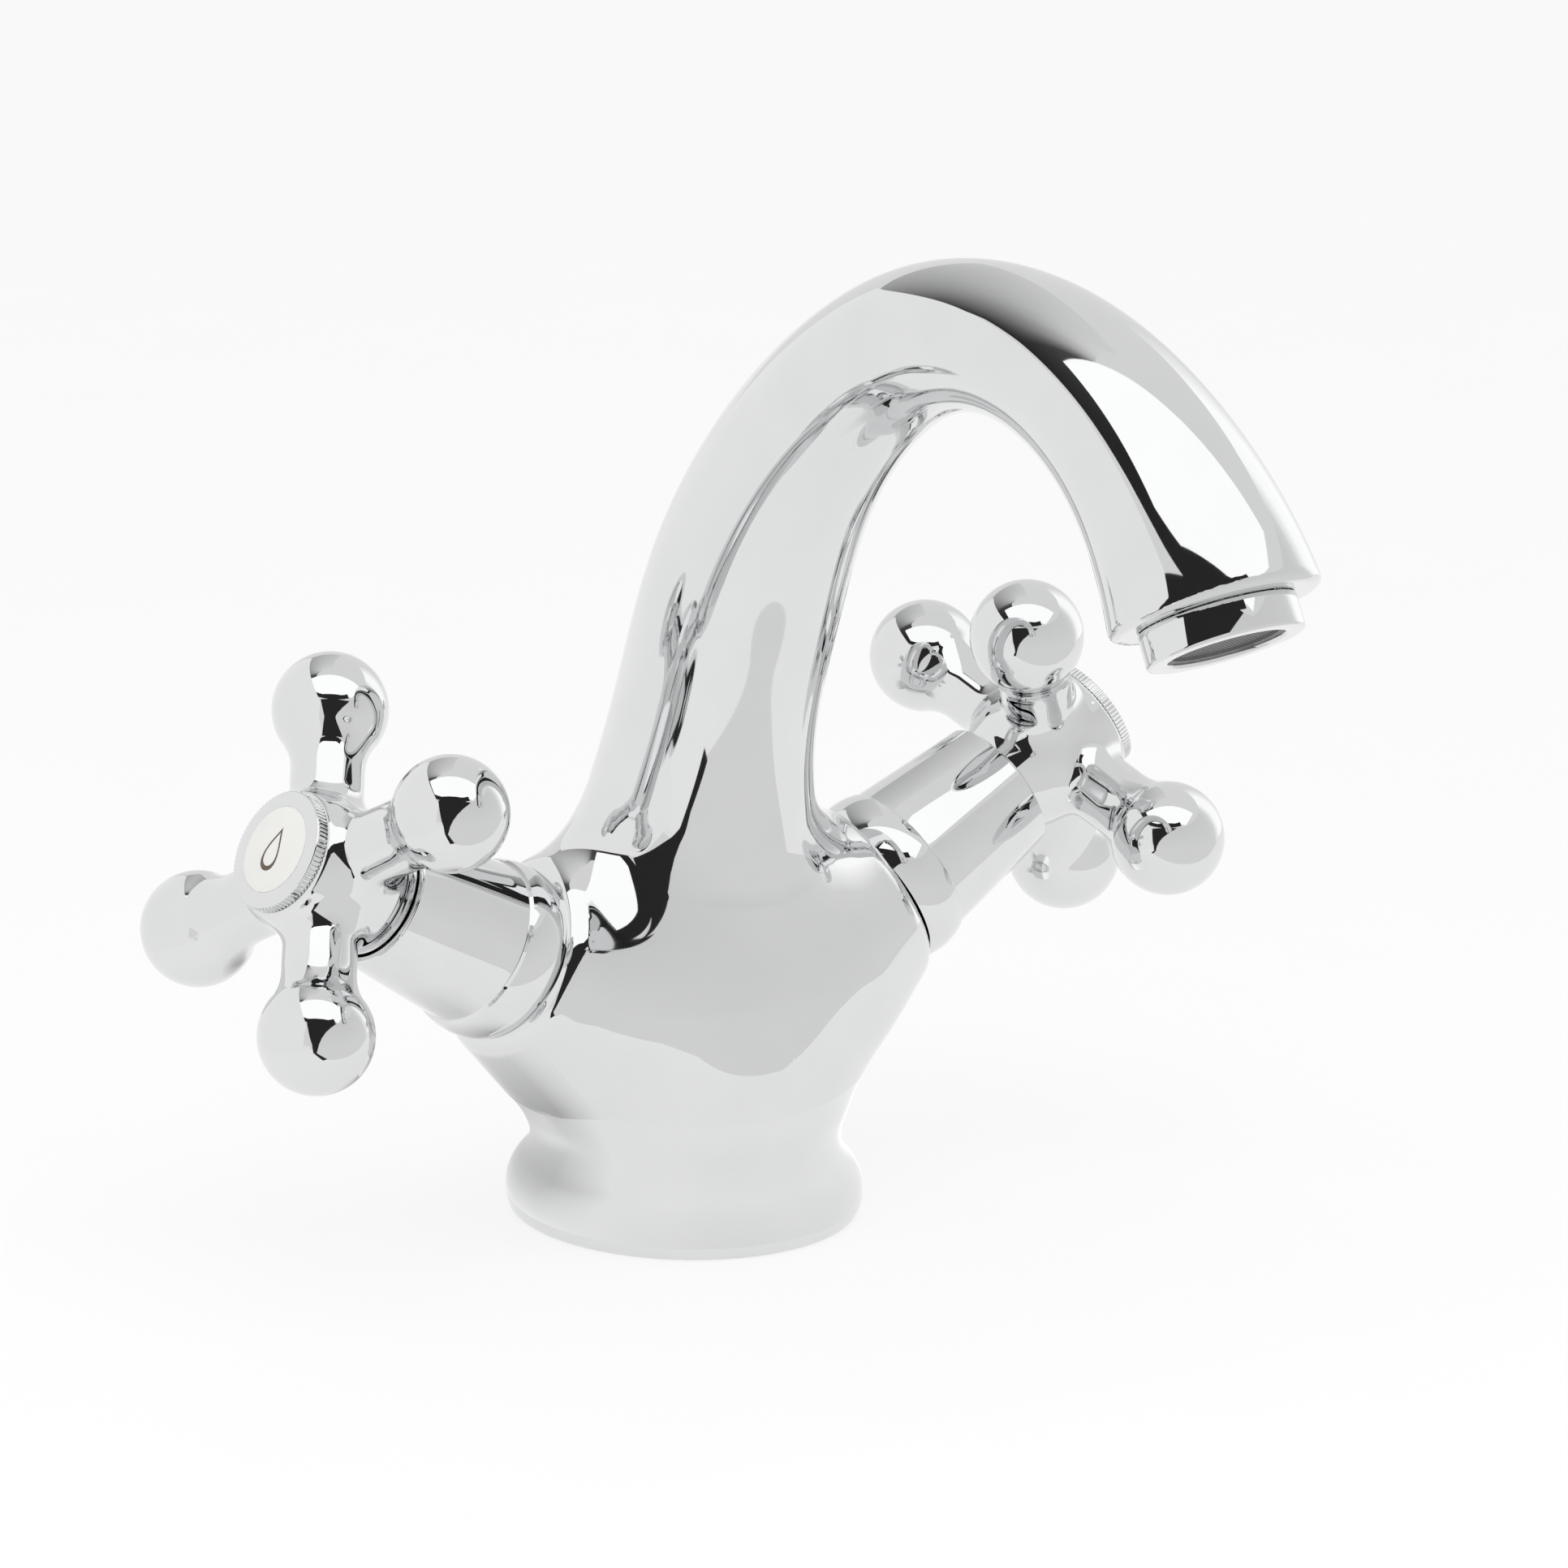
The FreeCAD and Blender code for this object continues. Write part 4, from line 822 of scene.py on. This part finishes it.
def dome_height(across):
    """Height of the enamel disc's domed face."""
    return DISC_CROWN - dome_radius + np.sqrt(dome_radius ** 2 - np.asarray(across) ** 2)


def dome_band(name, inner, outer, seat, proud=0.03):
    """Thin enamel band on the dome between two closed lines (x, y), a little proud of it."""
    count = len(inner)
    rows = []
    for line, lift in ((inner, -proud), (inner, proud), (outer, proud), (outer, -proud)):
        height = dome_height(np.hypot(*line.T)) + lift
        rows.append(np.column_stack([line, height]))
    points = placed(np.concatenate(rows), seat)
    number = np.arange(len(rows) * count).reshape(len(rows), count)
    beside, above = np.roll(number, -1, axis=1), np.roll(number, -1, axis=0)
    quads = np.stack([number, above, np.roll(beside, -1, axis=0), beside], axis=-1).reshape(-1, 4)
    piece = new_piece(name, points, quads, brown_enamel, crease=30.0)
    face_outwards(piece)
    return piece


def drop_line(half_height, upright):
    """Closed line of a drop: round below, pointed above, its point towards upright (an angle)."""
    turn = np.arange(DROP_STEPS) * 2 * math.pi / DROP_STEPS
    up = half_height * np.cos(turn)
    beside = half_height * DROP_BREADTH * np.sin(turn) * np.sin(turn / 2) ** DROP_TAPER
    return np.column_stack([up * math.cos(upright) - beside * math.sin(upright),
                            up * math.sin(upright) + beside * math.cos(upright)])


for side_name, side in (("hot", -1), ("cold", 1)):
    turn = HANDLE_TURNS[side_name]
    index_seat = valve_seat(side, turn)
    bezel_piece = turned_piece(f"bezel_{side_name}", rounded([
        (INDEX_STEM_BORE, INDEX_STEM_BOTTOM, 0),
        (INDEX_STEM_RADIUS, INDEX_STEM_BOTTOM, BEZEL_ROUNDING),
        (INDEX_STEM_RADIUS, HUB_TOP, 0),
        (knurl_radius, HUB_TOP, BEZEL_ROUNDING),
        (knurl_radius, INDEX_TOP - BEZEL_SLOPE, BEZEL_RIM_ROUNDING),
        (BEZEL_LIP_RADIUS, INDEX_TOP, BEZEL_ROUNDING),
        (INDEX_SEAT_RADIUS, BEZEL_LIP, 0),
        (INDEX_SEAT_RADIUS, INDEX_SEAT, 0),
        (INDEX_STEM_BORE, INDEX_SEAT, 0)]), index_seat, turned_chrome)
    knurl_piece = grown_piece(f"knurl_{side_name}", knurl_tree, knurl_sockets, {
        "Radius": knurl_radius, "Teeth": KNURL_TEETH, "Tooth": KNURL_DEPTH,
        "Length": KNURL_LENGTH, "Place": KNURL_PLACE}, index_seat)
    dome_across = np.linspace(DISC_RADIUS, 0, DOME_STEPS)
    disc_piece = turned_piece(f"disc_{side_name}", np.concatenate([
        [(0, INDEX_SEAT), (DISC_RADIUS, INDEX_SEAT)],
        np.column_stack([dome_across, dome_height(dome_across)])]), index_seat, cream_enamel)
    drop_upright = (0 if side < 0 else math.pi) - math.radians(turn)
    drop_piece = dome_band(f"drop_{side_name}", drop_line(DROP_HEIGHT / 2 - DROP_STROKE, drop_upright),
                           drop_line(DROP_HEIGHT / 2, drop_upright), index_seat)
    for piece, node, slot in (
            (bezel_piece, "index_ring", "chrome_turned"), (knurl_piece, None, "chrome_turned"),
            (disc_piece, "index_disc", "index_enamel"), (drop_piece, None, "index_enamel")):
        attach(piece, f"{side_name}_handle")
        if node:
            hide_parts(f"{node}_{side_name}")

# The studio: a pale floor under a light tent that is open to a dark room along a slot before the camera
# and along a gap below the overhead panel. Cards that only reflections show stand for the tent and the
# room, and a few of them paint shade and highlights: a painted shadow of the foot on the floor, and painted
# shade and a painted highlight on the cards round the foot. The camera looks down on the tap as someone
# before the basin does. Lengths here are in metres.
CAMERA_PLACE = (-0.81588, -1.16417, 0.48041)
CAMERA_AZIMUTH = math.radians(-35.547)
CAMERA_ELEVATION = math.radians(16.324)
CAMERA_ROLL = math.radians(1.489)
CAMERA_LENS = 236.91
CAMERA_REACH = 50.0
SENSOR_WIDTH = 36.0
ROOM_TONE = 0.025
TENT_TONE = 0.84
WALL_TONE = 0.82
FLOOR_TONE = 0.95
TENT_RADIUS = 0.45
STRIP_ROWS = 12
STRIP_STEP = 2.0
CARD_LIFT = 0.001
GAP_UNDER_PANEL = (
    (-180, 33, 75, 0.70, 0.80), (-150, 33, 75, 0.42, 0.80), (-135, 34, 75, 0.24, 0.82),
    (-120, 37, 74, 0.05, 0.80), (-106, 42, 72, ROOM_TONE, 0.6), (-96, 43, 68, ROOM_TONE, 0.1),
    (-60, 43, 66, ROOM_TONE, ROOM_TONE), (-40, 42, 60, ROOM_TONE, ROOM_TONE),
    (40, 41, 60, ROOM_TONE, ROOM_TONE))
SLOT_DISTANCE = 0.22
SLOT_LINE = ((-0.060, 0), (-0.042, 0), (-0.030, 0.05), (-0.014, 0.085), (0.012, 0.12), (0.055, 0.16),
             (0.15, 0.23), (-0.127, 0.23), (-0.098, 0.14), (-0.081, 0.083), (-0.068, 0.05))
SLOT_ON_FLOOR = ((0.128, -0.031), (0.133, -0.017), (SLOT_DISTANCE, -0.042), (SLOT_DISTANCE, -0.060))
RIGHT_WALL_RADIUS = 0.47
RIGHT_WALL = (
    (-14, 0, 41, WALL_TONE, 0.74), (30, 0, 41, WALL_TONE, 0.74), (45, 0, 38, WALL_TONE, 0.74),
    (98, 0, 40, WALL_TONE, 0.76), (108, 0, 40, TENT_TONE, TENT_TONE))
RIGHT_BACK_RADIUS = 0.55
RIGHT_BACK_TONE = 1.25
RIGHT_BACK_PANEL = (
    (108, 0, 40, TENT_TONE, TENT_TONE), (122, 0, 42, RIGHT_BACK_TONE, RIGHT_BACK_TONE),
    (138, 0, 42, RIGHT_BACK_TONE, RIGHT_BACK_TONE), (156, 0, 40, TENT_TONE, TENT_TONE))
FRONT_FLOOR = ((-0.107, -0.0962), (0.45, -0.0962), (0.45, -0.50), (-0.30, -0.50), (-0.334, -0.301))
LEFT_PANEL_TONE = 0.98
LEFT_PANEL_DEPTH = (-0.27, 0.30)
LEFT_PANEL_WIDTH = -0.15
LEFT_PANEL_HEIGHT = 0.245
REFLECTOR_RADIUS = 0.0272
REFLECTOR_RISES = (2, 14, 32)
# Tones of the cards round the foot: painted shade at their tops on the left, which carries on the painted
# shadow of the foot, and a painted highlight strip at the right-back.
REFLECTOR_SHADE_AND_HIGHLIGHT_TONES = (
    (-180, 0.72, 0.70, 0.66), (-130, 0.80, 0.70, 0.50), (-95, 1.00, 0.75, 0.48), (-62, 1.06, 0.74, 0.49),
    (-48, 1.02, 0.86, 0.69), (-32, 0.98, 0.98, 0.97), (10, 0.90, 0.94, 0.99), (60, 0.93, 0.95, 0.99),
    (100, 1.00, 1.01, 1.02), (112, 1.20, 1.18, 1.15), (124, 1.20, 1.18, 1.15), (132, 0.70, 0.70, 0.70),
    (180, 0.72, 0.70, 0.66))
# The dark floor card round the left of the foot is a painted shadow of the foot, seen only in reflections.
SHADE_RADII = (0.0274, 0.052)
SHADE_STEP = 4.0
SHADE_STATIONS = (-160, -60, -32)
SHADE_TONES = (0.45, 0.48, FLOOR_TONE)
PANEL_HEIGHT = 0.5
PANEL_DEPTH = (0.03, 0.41)
PANEL_WIDTH = (-0.31, 0.47)
PANEL_TONE = 1.3
LAMP_POWER = 1.2
FLOOR_RADIUS = 4.0
FLOOR_SIDES = 96
FLOOR_GREYS = (0.86, 0.9)
FLOOR_GRAIN = 30.0
FLOOR_ROUGHNESS = 0.8
FLOOR_GLOW = 0.78

camera_data = bpy.data.cameras.new("camera")
camera_data.lens = CAMERA_LENS
camera_data.sensor_width = SENSOR_WIDTH
camera_data.clip_end = CAMERA_REACH
camera = bpy.data.objects.new("camera", camera_data)
bpy.context.scene.collection.objects.link(camera)
camera.location = CAMERA_PLACE
camera.rotation_mode = "QUATERNION"
level_view = Euler((math.pi / 2 - CAMERA_ELEVATION, 0, CAMERA_AZIMUTH)).to_quaternion()
camera.rotation_quaternion = level_view @ Quaternion((0, 0, 1), CAMERA_ROLL)
bpy.context.scene.camera = camera

to_camera = math.atan2(CAMERA_PLACE[1], CAMERA_PLACE[0])
towards = np.array([math.cos(to_camera), math.sin(to_camera), 0])
rightwards = np.array([-math.sin(to_camera), math.cos(to_camera), 0])

card_material = bpy.data.materials.new("studio_card")
card_material.use_nodes = True
card_nodes = card_material.node_tree.nodes
card_nodes.clear()
card_tone = card_nodes.new("ShaderNodeAttribute")
card_tone.attribute_name = "tone"
card_glow = card_nodes.new("ShaderNodeEmission")
card_out = card_nodes.new("ShaderNodeOutputMaterial")
card_material.node_tree.links.new(card_tone.outputs["Fac"], card_glow.inputs["Strength"])
card_material.node_tree.links.new(card_glow.outputs["Emission"], card_out.inputs["Surface"])


def in_studio(depth, width, height):
    """Point so far towards the camera, to its right and above the floor."""
    return towards * depth + rightwards * width + (0, 0, height)


def spokes(azimuths):
    """Level directions, given in degrees to the right of the camera."""
    turns = np.radians(azimuths)
    return np.outer(np.cos(turns), towards) + np.outer(np.sin(turns), rightwards)


def faces_between_rows(start, count):
    """Quads between the row of points numbered from start and the row after it."""
    return [(place, place + 1, place + count + 1, place + count)
            for place in range(start, start + count - 1)]


def studio_card(name, points, faces, tones):
    """Card that only reflections show, with its own brightness at each point."""
    mesh = bpy.data.meshes.new(name)
    mesh.from_pydata([tuple(point) for point in points], [], faces)
    mesh.materials.append(card_material)
    tone = mesh.attributes.new("tone", "FLOAT", "POINT")
    tone.data.foreach_set("value", np.asarray(tones, dtype=np.float32))
    card = bpy.data.objects.new(name, mesh)
    bpy.context.scene.collection.objects.link(card)
    card.visible_camera = False
    card.visible_diffuse = False
    card.visible_shadow = False


def flat_card(name, corners, tone):
    """Card with one face and one tone."""
    studio_card(name, corners, [tuple(range(len(corners)))], [tone] * len(corners))


def tent_strip(name, stations, radius=TENT_RADIUS):
    """Upright strip round the tap: (degrees right of the camera, lowest and highest rise, tone at each)."""
    stations = np.array(stations, dtype=float)
    around = np.arange(stations[0, 0], stations[-1, 0] + 1, STRIP_STEP)
    low, high, low_tone, high_tone = [
        np.interp(around, stations[:, 0], column) for column in stations.T[1:]]
    count = len(around)
    points, faces, shades = [], [], []
    for row, share in enumerate(np.linspace(0, 1, STRIP_ROWS)):
        rise = np.tan(np.radians(low * (1 - share) + high * share))
        points.append((spokes(around) + np.outer(rise, (0, 0, 1))) * radius)
        shades.append(low_tone * (1 - share) + high_tone * share)
        if row:
            faces += faces_between_rows((row - 1) * count, count)
    studio_card(name, np.concatenate(points), faces, np.concatenate(shades))


tent_strip("gap_under_panel", GAP_UNDER_PANEL)
flat_card("slot_before_camera", [in_studio(SLOT_DISTANCE, *corner) for corner in SLOT_LINE], ROOM_TONE)
tent_strip("right_wall", RIGHT_WALL, RIGHT_WALL_RADIUS)
flat_card("front_floor", [(*corner, CARD_LIFT) for corner in FRONT_FLOOR], WALL_TONE)
left_back, left_front = LEFT_PANEL_DEPTH
flat_card("left_panel", [
    in_studio(left_back, LEFT_PANEL_WIDTH, 0), in_studio(left_front, LEFT_PANEL_WIDTH, 0),
    in_studio(left_front, LEFT_PANEL_WIDTH, LEFT_PANEL_HEIGHT),
    in_studio(left_back, LEFT_PANEL_WIDTH, LEFT_PANEL_HEIGHT)], LEFT_PANEL_TONE)
tent_strip("right_back_panel", RIGHT_BACK_PANEL, RIGHT_BACK_RADIUS)
flat_card("slot_on_floor", [in_studio(*corner, 2 * CARD_LIFT) for corner in SLOT_ON_FLOOR], ROOM_TONE)
low_rise, middle_rise, high_rise = REFLECTOR_RISES
# Cards round the foot, seen only in reflections, that carry painted shade and a painted highlight onto the
# foot and waist.
tent_strip("foot_reflector", [
    (azimuth, low_rise, middle_rise, low, middle) for azimuth, low, middle, _ in REFLECTOR_SHADE_AND_HIGHLIGHT_TONES],
    REFLECTOR_RADIUS)
tent_strip("waist_reflector", [
    (azimuth, middle_rise, high_rise, middle, high) for azimuth, _, middle, high in REFLECTOR_SHADE_AND_HIGHLIGHT_TONES],
    REFLECTOR_RADIUS)
# Painted shadow of the foot: a dark card on the floor round its left side, darkest near the foot.
shade_azimuths = np.arange(SHADE_STATIONS[0], SHADE_STATIONS[-1] + SHADE_STEP, SHADE_STEP)
shade_count = len(shade_azimuths)
shade_rows = [spokes(shade_azimuths) * radius + (0, 0, CARD_LIFT) for radius in SHADE_RADII]
shade_tones = [np.interp(shade_azimuths, SHADE_STATIONS, SHADE_TONES), np.full(shade_count, FLOOR_TONE)]
studio_card("shade_by_foot", np.concatenate(shade_rows), faces_between_rows(0, shade_count),
            np.concatenate(shade_tones))
panel_back, panel_front = PANEL_DEPTH
panel_left, panel_right = PANEL_WIDTH
panel_corners = [
    in_studio(panel_back, panel_left, PANEL_HEIGHT), in_studio(panel_front, panel_left, PANEL_HEIGHT),
    in_studio(panel_front, panel_right, PANEL_HEIGHT), in_studio(panel_back, panel_right, PANEL_HEIGHT)]
flat_card("overhead_panel", panel_corners, PANEL_TONE)

lamp_data = bpy.data.lights.new("overhead_lamp", "AREA")
lamp_data.shape = "RECTANGLE"
lamp_data.size = panel_right - panel_left
lamp_data.size_y = panel_front - panel_back
lamp_data.energy = LAMP_POWER
lamp = bpy.data.objects.new("overhead_lamp", lamp_data)
bpy.context.scene.collection.objects.link(lamp)
lamp.location = np.mean(panel_corners, axis=0)
lamp.rotation_euler = (0, 0, to_camera + math.pi / 2)
lamp.visible_glossy = False
lamp.visible_camera = False

floor_mesh = bpy.data.meshes.new("floor")
floor_angles = np.arange(FLOOR_SIDES) * 2 * math.pi / FLOOR_SIDES
floor_rim = [(math.cos(angle) * FLOOR_RADIUS, math.sin(angle) * FLOOR_RADIUS, 0) for angle in floor_angles]
floor_mesh.from_pydata(floor_rim, [], [tuple(range(FLOOR_SIDES))])
floor = bpy.data.objects.new("floor", floor_mesh)
bpy.context.scene.collection.objects.link(floor)
floor_material = bpy.data.materials.new("white_floor")
floor_material.use_nodes = True
floor_nodes, floor_links = floor_material.node_tree.nodes, floor_material.node_tree.links
floor_shader = floor_nodes["Principled BSDF"]
floor_shader.inputs["Roughness"].default_value = FLOOR_ROUGHNESS
floor_grain = floor_nodes.new("ShaderNodeTexNoise")
floor_grain.inputs["Scale"].default_value = FLOOR_GRAIN
floor_place = floor_nodes.new("ShaderNodeTexCoord")
floor_links.new(floor_place.outputs["Object"], floor_grain.inputs["Vector"])
floor_tones = floor_nodes.new("ShaderNodeValToRGB")
for element, grey in zip(floor_tones.color_ramp.elements, FLOOR_GREYS):
    element.color = (grey, grey, grey, 1)
floor_links.new(floor_grain.outputs["Fac"], floor_tones.inputs["Fac"])
floor_links.new(floor_tones.outputs["Color"], floor_shader.inputs["Base Color"])


def seen_ray(nodes, links):
    """1 for rays from the camera or off polished metal and glass, 0 for those that carry light."""
    path = nodes.new("ShaderNodeLightPath")
    total = path.outputs["Is Camera Ray"]
    for ray in ("Is Glossy Ray", "Is Transmission Ray"):
        either = nodes.new("ShaderNodeMath")
        either.operation = "MAXIMUM"
        links.new(total, either.inputs[0])
        links.new(path.outputs[ray], either.inputs[1])
        total = either.outputs[0]
    return total


floor_glow = floor_nodes.new("ShaderNodeEmission")
floor_share = floor_nodes.new("ShaderNodeMath")
floor_share.operation = "MULTIPLY"
floor_share.inputs[1].default_value = FLOOR_GLOW
floor_links.new(seen_ray(floor_nodes, floor_links), floor_share.inputs[0])
floor_mix = floor_nodes.new("ShaderNodeMixShader")
floor_links.new(floor_share.outputs[0], floor_mix.inputs["Fac"])
floor_links.new(floor_shader.outputs["BSDF"], floor_mix.inputs[1])
floor_links.new(floor_glow.outputs["Emission"], floor_mix.inputs[2])
floor_links.new(floor_mix.outputs["Shader"], floor_nodes["Material Output"].inputs["Surface"])
floor_mesh.materials.append(floor_material)

world = bpy.data.worlds.new("tent")
bpy.context.scene.world = world
world.use_nodes = True
world_nodes, world_links = world.node_tree.nodes, world.node_tree.links
tent_light = world_nodes["Background"]
tent_light.inputs["Color"].default_value = (TENT_TONE, TENT_TONE, TENT_TONE, 1)
white_ground = world_nodes.new("ShaderNodeBackground")
white_ground.inputs["Color"].default_value = (1, 1, 1, 1)
world_path = world_nodes.new("ShaderNodeLightPath")
world_mix = world_nodes.new("ShaderNodeMixShader")
world_links.new(world_path.outputs["Is Camera Ray"], world_mix.inputs["Fac"])
world_links.new(tent_light.outputs["Background"], world_mix.inputs[1])
world_links.new(white_ground.outputs["Background"], world_mix.inputs[2])
world_links.new(world_mix.outputs["Shader"], world_nodes["World Output"].inputs["Surface"])

bpy.context.scene.view_settings.view_transform = "Standard"
